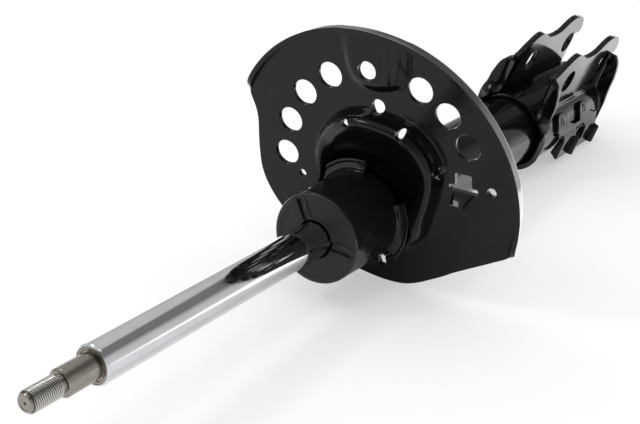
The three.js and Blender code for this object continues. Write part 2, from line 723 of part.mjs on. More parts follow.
function knuckleBracket() {
  const sleeve = solidOf(ring(BRACKET_START, BRACKET_END, OVER_TUBE, SLEEVE_RADIUS));
  const ear = solidOf(extrudedAcross(earShape(), EAR_INNER, EAR_OUTER));
  const frontEdge = BRACKET_START + 1.5;
  const rearEdge = BRACKET_END - 0.5;
  const front = extrudedAlongStrut(flangeShape(EAR_INNER + 14.5, 0), frontEdge, frontEdge + FLANGE_SHEET);
  const rear = extrudedAlongStrut(flangeShape(EAR_INNER + 16.5, -3), rearEdge - FLANGE_SHEET, rearEdge);
  const side = joined(ear, solidOf(front), solidOf(rear));
  const bore = solidOf(bar(BRACKET_START - 5, BRACKET_END + 5, OVER_TUBE));
  const holes = [FRONT_HOLE, REAR_HOLE].map((depth) =>
    solidOf(new THREE.CylinderGeometry(EAR_HOLE_RADIUS, EAR_HOLE_RADIUS, 4 * EAR_OUTER, SMALL_SIDES)
      .translate(-depth, 0, EAR_HOLE_HEIGHT)));
  return geometryOf(cut(joined(sleeve, side, side.mirror([0, 1, 0])), bore, ...holes));
}

// ---- the hose bracket on the sleeve's +Y side ----

// Two lugs, as depths: where the tongue on the sleeve and the leg below it start and end.
const LUGS = [
  { tongue: [FRONT_HOLE - 7, FRONT_HOLE + 11], leg: [FRONT_HOLE + 6, FRONT_HOLE + 27] },
  { tongue: [REAR_HOLE - 32, REAR_HOLE - 16], leg: [REAR_HOLE - 20, REAR_HOLE + 0.5] },
];

// A band of the lugs' sheet that follows the sleeve, in [y, z].
function sleeveBand(fromDegrees, toDegrees) {
  const inner = SLEEVE_RADIUS + GAP;
  const from = THREE.MathUtils.degToRad(fromDegrees);
  const to = THREE.MathUtils.degToRad(toDegrees);
  const band = new THREE.Shape();
  band.absarc(0, 0, inner + LUG_SHEET, from, to, false);
  band.absarc(0, 0, inner, to, from, true);
  return band;
}

// A leg from the end: a shelf that leaves the sleeve, then a plate that hangs down.
function legShape(face, top, foot) {
  const inner = SLEEVE_RADIUS + GAP;
  return shapeOf([
    [inner + 0.1, 7.5],
    [inner + LUG_SHEET, 7],
    [face, top + 1.5],
    [face, foot],
    [face - LUG_SHEET, foot],
    [face - LUG_SHEET, top - 0.5],
    [inner + 0.3, 4.2],
  ]);
}

function hoseBracket() {
  const face = SLEEVE_RADIUS + 5;
  const top = -1.5;
  const foot = -17;
  const out = face + 4.1;
  const inwardEdge = shapeOf([[face - 6.5, foot + 3], [face, foot], [face, top], [face - 4.4, top + 1.5]]);
  const outwardEdge = shapeOf([[face - 1, foot], [out, foot + 1], [out, top], [face - 1, top + 1]]);
  const parts = LUGS.flatMap(({ tongue, leg: [start, end] }) => [
    extrudedAlongStrut(sleeveBand(10, 41), ...tongue),
    extrudedAlongStrut(legShape(face, top, foot), start, end),
    extrudedAlongStrut(inwardEdge, start, start + LUG_SHEET),
    extrudedAlongStrut(outwardEdge, end - LUG_SHEET, end),
  ]);
  const strip = extrudedAlongStrut(sleeveBand(8, 16), LUGS[0].tongue[0], LUGS[1].leg[1]);
  return geometryOf(joined(...[strip, ...parts].map(solidOf)));
}

// ---- assembly ----

const seatFrame = new THREE.Group();
seatFrame.add(piece("spring_seat", springSeat(), blackPaint()));
seatFrame.quaternion.setFromRotationMatrix(seatTurn());
seatFrame.position.set(-SEAT_DEPTH, 0, 0);

const strut = new THREE.Group();
strut.add(
  piece("outer_tube", outerTube(), blackPaint()),
  piece("base_cap", baseCap(), blackPaint()),
  piece("knuckle_bracket", knuckleBracket(), blackPaint()),
  piece("hose_bracket", hoseBracket(), blackPaint()),
  seatFrame,
  piece("dust_cap", dustCap(), charcoalPlastic()),
  piece("retainer_ring", retainerRing(), steel()),
  piece("oil_seal", oilSeal(), rubber()),
  piece("rod_guide", rodGuide(), sintered()),
  piece("guide_bush", guideBush(), bronze()),
  piece("pressure_tube", pressureTube(), steel()),
  piece("base_valve_body", baseValveBody(), sintered()),
  piece("intake_disc", intakeDisc(), steel()),
  piece("valve_pin", valvePin(), steel()),
  piece("piston_band", pistonBand(), bronze()),
  piece("piston_rod", pistonRod(), chrome()),
  piece("rebound_rubber", reboundRubber(), rubber()),
  piece("rebound_ring", reboundRing(), steel()),
  piece("piston", piston(), sintered()),
  piece("rebound_shims", reboundShims(), steel()),
  piece("check_disc", checkDisc(), steel()),
  piece("piston_nut", pistonNut(), steel()),
);

// At rest the rim and the sleeve both touch the surface, so the rod's end is raised a little.
strut.rotation.order = "YXZ";
strut.rotation.x = -REST_ROLL;
strut.updateMatrixWorld(true);
const rimDrop = -new THREE.Box3().setFromObject(seatFrame, true).min.z;
strut.rotation.y = -Math.atan((rimDrop - SLEEVE_RADIUS) / (BRACKET_END - SEAT_DEPTH));

const assembly = new THREE.Group();
assembly.add(strut);
const extent = new THREE.Box3().setFromObject(assembly, true);
const middle = extent.getCenter(new THREE.Vector3());
strut.position.set(-middle.x, -middle.y, -extent.min.z);

export default assembly;
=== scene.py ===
"""A suspension strut laid on a pale floor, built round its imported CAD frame.

Shapes are drawn in the strut's own millimetres and then laid where the frame has it: X runs
along the rod to its thread, Y to the near ear, Z up the ears, and the rod's shoulder is at the
origin. A depth is a distance from the shoulder towards the bracket, so x is minus the depth.
"""

import json
import math
from math import cos, radians, sin

import bmesh
import bpy
from mathutils import Matrix, Vector


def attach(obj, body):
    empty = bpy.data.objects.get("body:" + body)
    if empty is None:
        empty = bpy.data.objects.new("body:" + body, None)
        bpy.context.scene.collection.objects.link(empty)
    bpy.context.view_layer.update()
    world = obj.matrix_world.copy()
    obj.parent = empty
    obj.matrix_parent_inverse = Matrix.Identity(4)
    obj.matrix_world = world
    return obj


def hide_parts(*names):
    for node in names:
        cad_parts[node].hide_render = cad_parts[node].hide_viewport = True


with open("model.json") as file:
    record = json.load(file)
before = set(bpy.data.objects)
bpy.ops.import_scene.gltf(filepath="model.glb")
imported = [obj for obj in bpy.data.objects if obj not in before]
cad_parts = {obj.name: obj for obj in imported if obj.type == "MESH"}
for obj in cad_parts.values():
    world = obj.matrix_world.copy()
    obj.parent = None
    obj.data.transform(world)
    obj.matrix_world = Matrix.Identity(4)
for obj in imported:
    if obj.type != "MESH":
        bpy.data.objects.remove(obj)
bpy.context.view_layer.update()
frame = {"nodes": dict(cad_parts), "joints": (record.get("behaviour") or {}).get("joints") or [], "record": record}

# ---- sizes shared by several pieces ----
ROD_RADIUS = 11
SHOULDER_MOUNT = 9  # from the axis to the place of the mount on the rod's shoulder
SHANK_RADIUS = 7.5
SHANK_LENGTH = 21.5
THREAD_START = 23.3
THREAD_TIP = 43.8
THREAD_RADIUS = 6
THREAD_PITCH = 1.25
THREAD_ROOT = THREAD_RADIUS - 0.68 * THREAD_PITCH
SPIGOT_START = 251.1
ROD_END = 281.9
TUBE_START = 193.8
TUBE_END = 556.3
TUBE_RADIUS = 25.4
TUBE_BORE = 22.9
CAP_FRONT = 189.5
CAP_BACK = 240
CAP_SKIRT = 28.7
CAP_LIP_TURNS = [radians(14 + 120 * i) for i in range(3)]
SEAT_DEPTH = CAP_BACK
SEAT_SLOPES = (math.tan(radians(3.57)), math.tan(radians(8.55)))  # its plane's, across and up
SEAT_SHEET = 2.9
SLEEVE_RADIUS = 29
SLEEVE_WALL = 3.3
BRACKET_START = 437.3
BRACKET_END = 549.3
EAR_MIDDLE = 16  # strut's axis to the middle of an ear's sheet
EAR_SHEET = 4
BOLT_DEPTHS = (472.3, 536.3)
BOLT_HEIGHT = 45
BOLT_HOLE = 8.5


def strut_lie():
    """The transform from the strut's millimetres to the frame's metres."""
    slide = next(j for j in frame["joints"] if j["name"] == "rod_slide")
    mounts = {m["name"]: m for m in frame["record"]["mounts"]}
    along = Vector(slide["axis"]).normalized()
    across = Vector(mounts["ear_outside_near"]["axis"]).normalized()
    shoulder = Vector(mounts["rod_shoulder"]["pos_m"]) - SHOULDER_MOUNT / 1000 * across
    turn = Matrix((along, across, along.cross(across))).transposed().to_4x4()
    return Matrix.Translation(shoulder) @ turn @ Matrix.Scale(0.001, 4)


def seat_lie():
    """From the seat's own frame: x to the near side, y up the ears, z towards the rod."""
    facing = Vector((1, SEAT_SLOPES[0], -SEAT_SLOPES[1])).normalized()
    upward = (Vector((0, 0, 1)) - facing * facing.z).normalized()
    turn = Matrix((upward.cross(facing), upward, facing)).transposed().to_4x4()
    return Matrix.Translation((-SEAT_DEPTH, 0, 0)) @ turn


STRUT = strut_lie()
STRUT_TURN = STRUT.to_3x3().normalized()
SEAT = seat_lie()


# ---- materials ----
class Tree:
    """A node tree that grows from its sources to its output."""

    def __init__(self, tree):
        self.tree = tree

    def feed(self, target, value):
        """A value for a socket, or a link from another node's socket."""
        if isinstance(value, bpy.types.NodeSocket):
            self.tree.links.new(value, target)
        else:
            target.default_value = value

    def node(self, kind, inputs=(), out=0, **settings):
        made = self.tree.nodes.new("ShaderNode" + kind)
        for key, value in settings.items():
            setattr(made, key, value)
        for key, value in dict(inputs).items():
            self.feed(made.inputs[key], value)
        return made.outputs[out]

    def calc(self, operation, first, second):
        return self.node("Math", {0: first, 1: second}, operation=operation)

    def ramp(self, value, low, high, at_low, at_high):
        """The value's range from low to high, spread over another range."""
        return self.node("MapRange", {
            0: value, 1: low, 2: high, 3: at_low, 4: at_high,
        }, interpolation_type="SMOOTHSTEP")


class Finish(Tree):
    """A material whose patterns are drawn by nodes on the object's own coordinates."""

    def __init__(self, name, **sockets):
        self.material = bpy.data.materials.new(name)
        self.material.use_nodes = True
        super().__init__(self.material.node_tree)
        self.shader = self.tree.nodes["Principled BSDF"]
        self.place = self.node("TexCoord", out="Object")
        for socket, value in sockets.items():
            self.set(socket.replace("_", " "), value)

    def set(self, socket, value):
        self.feed(self.shader.inputs[socket], value)

    def noise(self, size_mm, detail=3, place=None, roughness=0.5):
        """Soft random values, with features of about the given size."""
        return self.node("TexNoise", {
            "Vector": place or self.place, "Scale": 1000 / size_mm, "Detail": detail,
            "Roughness": roughness,
        })

    def blend(self, share, first, second):
        """A colour between two others, each given as RGB or by another node."""
        inputs = {0: share}
        for key, color in ((6, first), (7, second)):
            inputs[key] = color if isinstance(color, bpy.types.NodeSocket) else (*color, 1)
        return self.node("Mix", inputs, out=2, data_type="RGBA")

    def bump(self, height, distance_mm, strength, below=None):
        inputs = {"Height": height, "Distance": distance_mm / 1000, "Strength": strength}
        if below is not None:
            inputs["Normal"] = below
        return self.node("Bump", inputs)

    def between(self, share, first, second):
        """A value between two others."""
        return self.node("Mix", {0: share, 2: first, 3: second}, data_type="FLOAT")

    def ahead_of(self, depth, over):
        """1 on the rod's side of a depth in the strut and 0 past it, eased over some mm."""
        along = STRUT_TURN.col[0]
        distance = self.node("VectorMath", {0: self.place, 1: along}, out="Value",
                             operation="DOT_PRODUCT")
        level = along.dot(STRUT @ Vector((-depth, 0, 0)))
        half = over / 2000
        return self.ramp(distance, level - half, level + half, 0, 1)

    def along_strut(self, squeeze):
        """Coordinates with the strut's length as x, for turning and polishing marks round it."""
        turned_back = STRUT_TURN.inverted().to_euler()
        level = self.node("Mapping", {"Vector": self.place, "Rotation": turned_back})
        return self.node("Mapping", {"Vector": level, "Scale": (1, squeeze, squeeze)})


def gloss_paint(name="black_gloss_paint", gloss=1.35):
    finish = Finish(name, IOR=gloss)
    cloud = finish.noise(30)
    dust = finish.ramp(finish.noise(1.1, 1), 0.75, 0.79, 0, 0.35)
    finish.set("Base Color", finish.blend(dust, (0.0032, 0.0032, 0.0036), (0.08, 0.08, 0.08)))
    finish.set("Roughness", finish.ramp(cloud, 0.3, 0.7, 0.07, 0.13))
    pressed = finish.bump(finish.noise(34, 1), 0.5, 0.5)
    orange_peel = finish.bump(finish.noise(4, 2), 0.05, 0.45, pressed)
    finish.set("Normal", finish.bump(finish.noise(0.7, 1), 0.008, 0.3, orange_peel))
    return finish.material


def cap_plastic():
    """Matt and grained on the face, and polished by its mould on the skirt."""
    finish = Finish("charcoal_moulded_plastic", IOR=1.42)
    cloud, grain, smear = finish.noise(9), finish.noise(0.45, 2), finish.noise(7, 4)
    face = finish.ahead_of(CAP_FRONT + 1.4, 0.8)
    skirt_rough = finish.ramp(smear, 0.45, 0.8, 0.13, 0.34)
    face_rough = finish.ramp(grain, 0.3, 0.7, 0.46, 0.6)
    finish.set("Roughness", finish.between(face, skirt_rough, face_rough))
    skirt = finish.blend(cloud, (0.006, 0.006, 0.006), (0.011, 0.0105, 0.010))
    front = finish.blend(cloud, (0.008, 0.008, 0.0083), (0.0125, 0.0125, 0.0125))
    finish.set("Base Color", finish.blend(face, skirt, front))
    wavy = finish.bump(finish.noise(14, 2), 0.2, 0.4)
    finish.set("Normal", finish.bump(grain, 0.06, finish.between(face, 0.04, 0.5), wavy))
    return finish.material


def rod_chrome():
    finish = Finish("hard_chrome", Metallic=1.0)
    smudge = finish.noise(14, 5, roughness=0.62)
    haze = finish.noise(4, 4, roughness=0.7)
    polish = finish.noise(0.9, 2, finish.along_strut(0.06))
    finish.set("Base Color", finish.blend(smudge, (0.78, 0.795, 0.82), (0.60, 0.61, 0.62)))
    finish.set("Roughness", finish.ramp(haze, 0.35, 0.75, 0.05, 0.16))
    finish.set("Normal", finish.bump(polish, 0.001, 0.3, finish.bump(smudge, 0.015, 0.25)))
    return finish.material


def turned_steel(name, light, dark, rough=(0.22, 0.4), mark_mm=0.25):
    """Steel with the fine rings that a lathe leaves round the strut's axis."""
    finish = Finish(name, Metallic=1.0)
    rings = finish.noise(mark_mm, 2, finish.along_strut(0.002))
    stain = finish.noise(5, 4)
    finish.set("Base Color", finish.blend(stain, light, dark))
    finish.set("Roughness", finish.ramp(rings, 0.3, 0.7, *rough))
    finish.set("Normal", finish.bump(rings, 0.012, 0.6))
    return finish.material


def rolled_thread():
    """Painted highlights on the thread's crests and painted shade between them."""
    finish = Finish("rolled_thread", Metallic=1.0, Roughness=0.22)
    along = STRUT_TURN.col[0]
    away = finish.node("VectorMath", {0: finish.place, 1: STRUT.translation}, operation="SUBTRACT")
    across = finish.node("VectorMath", {0: away, 1: along}, operation="CROSS_PRODUCT")
    radius = finish.node("VectorMath", {0: across}, out="Value", operation="LENGTH")
    # The colour goes from painted shade at the thread's roots to a painted highlight on its crests.
    crest = finish.ramp(radius, (THREAD_ROOT + 0.1) / 1000, (THREAD_RADIUS - 0.05) / 1000, 0, 1)
    finish.set("Base Color", finish.blend(crest, (0.05, 0.047, 0.042), (0.62, 0.60, 0.57)))
    return finish.material


def sintered_iron():
    finish = Finish("sintered_iron", Metallic=0.8)
    pores = finish.node("TexVoronoi", {"Vector": finish.place, "Scale": 2200})
    grey = finish.blend(finish.noise(2, 4), (0.10, 0.10, 0.105), (0.19, 0.185, 0.18))
    finish.set("Base Color", grey)
    finish.set("Roughness", finish.ramp(finish.noise(1.2), 0.3, 0.7, 0.5, 0.7))
    finish.set("Normal", finish.bump(pores, 0.05, 0.5))
    return finish.material


def seal_rubber():
    finish = Finish("seal_rubber", IOR=1.45)
    color = finish.blend(finish.noise(3), (0.014, 0.014, 0.014), (0.03, 0.029, 0.028))
    finish.set("Base Color", color)
    finish.set("Roughness", finish.ramp(finish.noise(0.8), 0.3, 0.7, 0.6, 0.8))
    finish.set("Normal", finish.bump(finish.noise(0.5, 2), 0.03, 0.5))
    return finish.material


PAINT = gloss_paint()
RIM_SHEEN_PAINT = gloss_paint("black_rim_sheen_paint", 3.2)  # more of a mirror, for a painted reflection band on the flange's outer face
PLASTIC = cap_plastic()
CHROME = rod_chrome()
ROD_STEEL = turned_steel("turned_rod_end", (0.36, 0.335, 0.295), (0.25, 0.23, 0.20), (0.16, 0.3))
THREAD_STEEL = rolled_thread()
BRIGHT_STEEL = turned_steel("bright_steel", (0.52, 0.52, 0.53), (0.40, 0.40, 0.41), mark_mm=0.4)
BRONZE = turned_steel("sliding_bronze", (0.45, 0.29, 0.12), (0.31, 0.19, 0.075), mark_mm=0.4)
SINTERED = sintered_iron()
RUBBER = seal_rubber()

CARRIED_OVER = {
    "retainer_ring": BRIGHT_STEEL, "pressure_tube": BRIGHT_STEEL, "intake_disc": BRIGHT_STEEL,
    "valve_pin": BRIGHT_STEEL, "rebound_ring": BRIGHT_STEEL, "rebound_shims": BRIGHT_STEEL,
    "check_disc": BRIGHT_STEEL, "piston_nut": BRIGHT_STEEL, "rod_guide": SINTERED,
    "piston": SINTERED, "base_valve_body": SINTERED, "guide_bush": BRONZE,
    "piston_band": BRONZE, "oil_seal": RUBBER, "rebound_rubber": RUBBER,
}
for node_name, material in CARRIED_OVER.items():
    node = frame["nodes"][node_name]
    node.data.materials.clear()
    node.data.materials.append(material)


# ---- tools for shaping ----
def modified(bm, *steps):
    """The mesh after modifiers, each given as its kind and its settings."""
    mesh = bpy.data.meshes.new("worked")
    bm.to_mesh(mesh)
    bm.free()
    worked = bpy.data.objects.new("worked", mesh)
    bpy.context.scene.collection.objects.link(worked)
    for kind, settings in steps:
        modifier = worked.modifiers.new(kind, kind)
        for key, value in settings.items():
            setattr(modifier, key, value)
    shaped = worked.evaluated_get(bpy.context.evaluated_depsgraph_get()).to_mesh()
    result = bmesh.new()
    result.from_mesh(shaped)
    bpy.data.objects.remove(worked)
    bpy.data.meshes.remove(mesh)
    return result


def combined(bm, others, operation):
    """The solid joined with, or cut by, other closed solids."""
    for other in others:
        mesh = bpy.data.meshes.new("tool")
        other.to_mesh(mesh)
        other.free()
        tool = bpy.data.objects.new("tool", mesh)
        bpy.context.scene.collection.objects.link(tool)
        bm = modified(bm, ("BOOLEAN", {
            "operation": operation, "object": tool, "solver": "MANIFOLD"}))
        bpy.data.objects.remove(tool)
        bpy.data.meshes.remove(mesh)
    return bm


def closed_up(bm):
    """Seams merged and faces turned outwards."""
    bmesh.ops.remove_doubles(bm, verts=bm.verts, dist=1e-3)
    bmesh.ops.recalc_face_normals(bm, faces=bm.faces)
    return bm


def rounded(bm, radius, segments=2, sharper=60):
    """Seams closed, and the edges that are sharper than an angle rounded off."""
    closed_up(bm)
    edges = [e for e in bm.edges if e.calc_face_angle(0) > radians(sharper)]
    if radius:
        bmesh.ops.bevel(bm, geom=edges, offset=radius, affect="EDGES", segments=segments,
                        profile=0.5, material=-1, clamp_overlap=True)
    return bm


def thick_sheet(bm, thickness, levels=0):
    """A surface smoothed by subdivision, then given a thickness, half on each side."""
    bmesh.ops.recalc_face_normals(bm, faces=bm.faces)
    steps = [("SUBSURF", {"levels": levels, "render_levels": levels})] if levels else []
    return modified(bm, *steps, ("SOLIDIFY", {
        "thickness": thickness, "offset": 0, "use_quality_normals": True}))


def next_row(bm, edges, column):
    """A row of edges extruded once more: the new row's vertices and its edges."""
    made = bmesh.ops.extrude_edge_only(bm, edges=edges)["geom"]
    return ([g for g in made if isinstance(g, bmesh.types.BMVert)],
            [g for g in made if isinstance(g, bmesh.types.BMEdge)
             and g.verts[0][column] != g.verts[1][column]])


def finished(name, bm, material, body, slot, *nodes, sharp=32):
    """The shape as an object that lies in the frame and stands for its CAD nodes."""
    bm.transform(STRUT)
    mesh = bpy.data.meshes.new(name)
    bm.to_mesh(mesh)
    bm.free()
    mesh.shade_smooth()
    mesh.set_sharp_from_angle(angle=radians(sharp))
    mesh.materials.append(material)
    made = bpy.data.objects.new(name, mesh)
    bpy.context.scene.collection.objects.link(made)
    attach(made, body)
    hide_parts(*nodes)
    return made


def eased(profile, radius, closed):
    """A profile with each clear corner rounded off."""
    points = [Vector(p) for p in profile]
    count = len(points)
    found = []
    for i, corner in enumerate(points):
        before, after = points[i - 1] - corner, points[(i + 1) % count] - corner
        kept = not closed and i in (0, count - 1) or min(before.length, after.length) < 1e-6
        if kept or math.pi - before.angle(after) < radians(20):
            found.append(corner)
            continue
        start = corner + before.normalized() * min(radius, 0.45 * before.length)
        end = corner + after.normalized() * min(radius, 0.45 * after.length)
        for share in (0, 0.25, 0.5, 0.75, 1):
            found.append(start.lerp(corner, share).lerp(corner.lerp(end, share), share))
    return found


def chain(bm, points, closed=False):
    """Vertices and edges through points."""
    verts = [bm.verts.new(p) for p in points]
    ends = verts[1:] + (verts[:1] if closed else [])
    return verts + [bm.edges.new(pair) for pair in zip(verts, ends)]


def turned(profile, radius=0.3, steps=96, from_turn=0.0, turn=2 * math.pi):
    """A body of revolution from [depth, radius] points, or a closed share of one."""
    closed = profile[0][1] > 0
    bm = bmesh.new()
    profile = eased(profile, radius, closed)
    geometry = chain(bm, [(-depth, r, 0) for depth, r in profile], closed)
    whole = turn > 6.28
    if not whole:
        bmesh.ops.contextual_create(bm, geom=geometry)
        geometry = bm.verts[:] + bm.edges[:] + bm.faces[:]
    bmesh.ops.spin(bm, geom=geometry, cent=(0, 0, 0), axis=(1, 0, 0), dvec=(0, 0, 0),
                   angle=turn, steps=steps, use_merge=whole)
    bm.transform(Matrix.Rotation(from_turn, 4, "X"))
    return closed_up(bm)


def outlined(points, place, low, high, radius=0.0):
    """A flat outline made into a plate from one level to another, with its edges eased."""
    bm = bmesh.new()
    face = bm.faces.new([bm.verts.new((x, y, low)) for x, y in points])
    swept = bmesh.ops.extrude_face_region(bm, geom=[face])["geom"]
    moved = [v for v in swept if isinstance(v, bmesh.types.BMVert)]
    bmesh.ops.translate(bm, verts=moved, vec=(0, 0, high - low))
    rounded(bm, radius, sharper=40)
    bm.transform(place)
    return bm


def curve(points, steps):
    """Points along a Bezier chain: start, then [control, control, end] for each span."""
    found = [Vector(points[0])]
    for first, second, end in zip(points[1::3], points[2::3], points[3::3]):
        start = found[-1]
        for i in range(1, steps + 1):
            t = i / steps
            found.append((1 - t) ** 3 * start + 3 * t * (1 - t) ** 2 * Vector(first)
                         + 3 * t * t * (1 - t) * Vector(second) + t ** 3 * Vector(end))
    return found


def smooth(value, low, high):
    """From 0 at low to 1 at high, with an eased start and end."""
    share = min(1, max(0, (value - low) / (high - low)))
    return share * share * (3 - 2 * share)


def mixed(a, b, share):
    return a + (b - a) * share


# ---- the camera, the floor and the light ----
camera = bpy.data.objects.new("camera", bpy.data.cameras.new("camera"))
bpy.context.scene.collection.objects.link(camera)
bpy.context.scene.camera = camera
camera.location = (0.65367, 0.37541, 0.37654)
camera.rotation_euler = (radians(90 - 24.004), 0, radians(123.538))
camera.data.lens = 75.148
camera.data.clip_start, camera.data.clip_end = 0.02, 60


def area_light(name, position, target, size, watts):
    lamp = bpy.data.objects.new(name, bpy.data.lights.new(name, "AREA"))
    bpy.context.scene.collection.objects.link(lamp)
    lamp.data.shape = "RECTANGLE"
    lamp.data.size, lamp.data.size_y = size
    lamp.data.energy = watts
    lamp.location = position
    lamp.rotation_euler = (Vector(target) - Vector(position)).to_track_quat("-Z", "Y").to_euler()


area_light("key", (1.0, -1.05, 1.6), (0, 0, 0.05), (0.42, 0.42), 5)
area_light("top", (0.55, 0.3, 2.1), (0, 0, 0.05), (0.5, 0.5), 3)
area_light("strip", (-0.25, -1.3, 1.7), (-0.1, 0, 0.05), (1.1, 0.16), 3.4)


def pale_floor():
    bm = bmesh.new()
    bmesh.ops.create_circle(bm, cap_ends=True, segments=96, radius=7)
    mesh = bpy.data.meshes.new("floor")
    bm.to_mesh(mesh)
    bm.free()
    floor = bpy.data.objects.new("floor", mesh)
    bpy.context.scene.collection.objects.link(floor)
    finish = Finish("pale_floor", Roughness=0.85, Specular_IOR_Level=0.2)
    # For the lens, part of the floor's white is its own light, which keeps the shadows faint.
    lens = finish.node("LightPath", out="Is Camera Ray")
    own = finish.blend(finish.noise(60), (0.93, 0.93, 0.93), (0.91, 0.91, 0.91))
    finish.set("Base Color", finish.blend(lens, own, (0.56, 0.56, 0.56)))
    # For gloss and metal the floor is lit harder behind the strut and beside it.
    length = finish.node("SeparateXYZ", {0: finish.place}, out="X")
    side = finish.node("SeparateXYZ", {0: finish.place}, out="Y")
    behind = finish.calc("MULTIPLY", finish.ramp(length, -0.28, -0.42, 0, 1),
                         finish.ramp(side, 0.2, 0.12, 0.2, 1.1))
    beside = finish.ramp(side, 0, 0.08, 0.4, 1.7)
    for fade in (finish.ramp(length, 0.02, -0.08, 0, 1), finish.ramp(side, 0.5, 0.3, 0, 1),
                 finish.ramp(length, -0.34, -0.24, 0, 1)):
        beside = finish.calc("MULTIPLY", beside, fade)
    glossy = finish.node("LightPath", out="Is Glossy Ray")
    glow = finish.calc("MULTIPLY", finish.calc("ADD", behind, beside), glossy)
    finish.set("Emission Color", (1, 1, 1, 1))
    finish.set("Emission Strength", finish.calc("ADD", glow, finish.calc("MULTIPLY", lens, 0.42)))
    mesh.materials.append(finish.material)


SOFT_BOX = (0, -0.52, 0.854)  # its direction, up and to the far side


def studio_sky():
    """White for the lens, and for gloss and metal a room with a soft box in a dark ring."""
    world = bpy.data.worlds.new("studio")
    bpy.context.scene.world = world
    world.use_nodes = True
    sky = Tree(world.node_tree)
    sky.tree.nodes.clear()
    direction = sky.node("TexCoord", out="Generated")
    toward = sky.node("VectorMath", {0: direction, 1: SOFT_BOX}, out="Value",
                      operation="DOT_PRODUCT")
    rings = sky.node("ValToRGB", {0: sky.node("MapRange", {0: toward, 1: -1})})
    stops = [(0.3, 0.9), (0.46, 0.82), (0.56, 0.5), (0.64, 0), (0.78, 0), (0.83, 0.8), (1, 0.85)]
    elements = rings.node.color_ramp.elements
    while len(elements) < len(stops):
        elements.new(0.5)
    for element, (position, grey) in zip(elements, stops):
        element.position = position
        element.color = (grey, grey, grey, 1)
    across = sky.node("SeparateXYZ", {0: direction}, out="Y")
    dimmest = sky.ramp(across, -0.52, -0.38, 0.72, 0.27)  # the ring is pale on the far side
    mirrored = sky.node("Background", {1: sky.calc("MAXIMUM", rings, dimmest)})
    lit = sky.node("Background", {0: (0.9, 0.9, 0.905, 1)})
    shown = sky.node("Background", {0: (1, 1, 1, 1)})
    path = sky.node("LightPath").node.outputs
    shiny = sky.calc("MAXIMUM", path["Is Glossy Ray"], path["Is Transmission Ray"])
    room = sky.node("MixShader", {0: shiny, 1: lit, 2: mirrored})
    seen = sky.node("MixShader", {0: path["Is Camera Ray"], 1: room, 2: shown})
    output = sky.tree.nodes.new("ShaderNodeOutputWorld")
    sky.feed(output.inputs["Surface"], seen)


pale_floor()
studio_sky()
bpy.context.scene.view_settings.view_transform = "Standard"


# ---- the rod ----
def rod_bar():
    return turned([
        (1.5, 0), (1.5, ROD_RADIUS - 1.25), (0.1, ROD_RADIUS - 1.2), (0, ROD_RADIUS - 0.9),
        (0.9, ROD_RADIUS), (SPIGOT_START, ROD_RADIUS),
        (SPIGOT_START, 6), (ROD_END - 0.8, 6), (ROD_END, 5.2), (ROD_END, 0),
    ], 0.35)


def rod_end():
    """The shank, its undercut and the core of the thread, with a centred tip."""
    core = THREAD_ROOT - 0.12
    return turned([
        (1.6, 0), (1.6, ROD_RADIUS - 1.3), (0.25, ROD_RADIUS - 1.35), (0.05, ROD_RADIUS - 1.6),
        (0.05, SHANK_RADIUS + 0.9), (0.9, SHANK_RADIUS + 0.8), (0.9, SHANK_RADIUS - 0.5),
        (-0.9, SHANK_RADIUS - 0.5), (-1.3, SHANK_RADIUS),
        (0.9 - SHANK_LENGTH, SHANK_RADIUS), (-SHANK_LENGTH, SHANK_RADIUS - 1.1),
        (-SHANK_LENGTH - 0.25, core), (-THREAD_TIP + 0.7, core), (-THREAD_TIP, core - 0.6),
        (-THREAD_TIP, 3.5), (-THREAD_TIP + 0.3, 3.2), (-THREAD_TIP + 0.3, 0.9),
        (-THREAD_TIP + 0.9, 0),
    ], 0.25)


def rod_thread():
    """A right-hand vee thread, wound as one helical face that fades out at each end."""
    turns = math.ceil((THREAD_TIP - THREAD_START) / THREAD_PITCH) + 1
    steps = 48
    bm = bmesh.new()
    start = THREAD_START - THREAD_PITCH / 2
    flank = THREAD_RADIUS - 0.05
    section = [(0, THREAD_ROOT), (0.42, flank), (0.5, THREAD_RADIUS), (0.58, flank),
               (1, THREAD_ROOT)]
    geometry = chain(bm, [(start + share * THREAD_PITCH, r, 0) for share, r in section])
    bmesh.ops.spin(bm, geom=geometry, cent=(0, 0, 0), axis=(1, 0, 0),
                   dvec=(THREAD_PITCH / steps, 0, 0), angle=2 * math.pi * turns,
                   steps=steps * turns, use_merge=False)
    bmesh.ops.remove_doubles(bm, verts=bm.verts, dist=1e-3)
    for vert in bm.verts:
        fade = min(smooth(THREAD_TIP - vert.co.x, 0, 2.6),
                   smooth(vert.co.x - THREAD_START, 0, 1.6))
        limit = mixed(4.6, 6.2, fade)  # from within the core to clear of the crests
        radius = math.hypot(vert.co.y, vert.co.z)
        if radius > limit:
            vert.co.yz = vert.co.yz * (limit / radius)
    for plane, outward in ((THREAD_START + 0.05, -1), (THREAD_TIP - 0.35, 1)):
        bmesh.ops.bisect_plane(bm, geom=bm.verts[:] + bm.edges[:] + bm.faces[:], dist=1e-4,
                               plane_co=(plane, 0, 0), plane_no=(outward, 0, 0), clear_outer=True)
    bmesh.ops.edgeloop_fill(bm, edges=[e for e in bm.edges if e.is_boundary])
    return closed_up(bm)


finished("rod_bar", rod_bar(), CHROME, "rod", "rod_chrome", "piston_rod")
finished("rod_end", rod_end(), ROD_STEEL, "rod", "bright_steel", "piston_rod")
finished("rod_thread", rod_thread(), THREAD_STEEL, "rod", "bright_steel", "piston_rod")


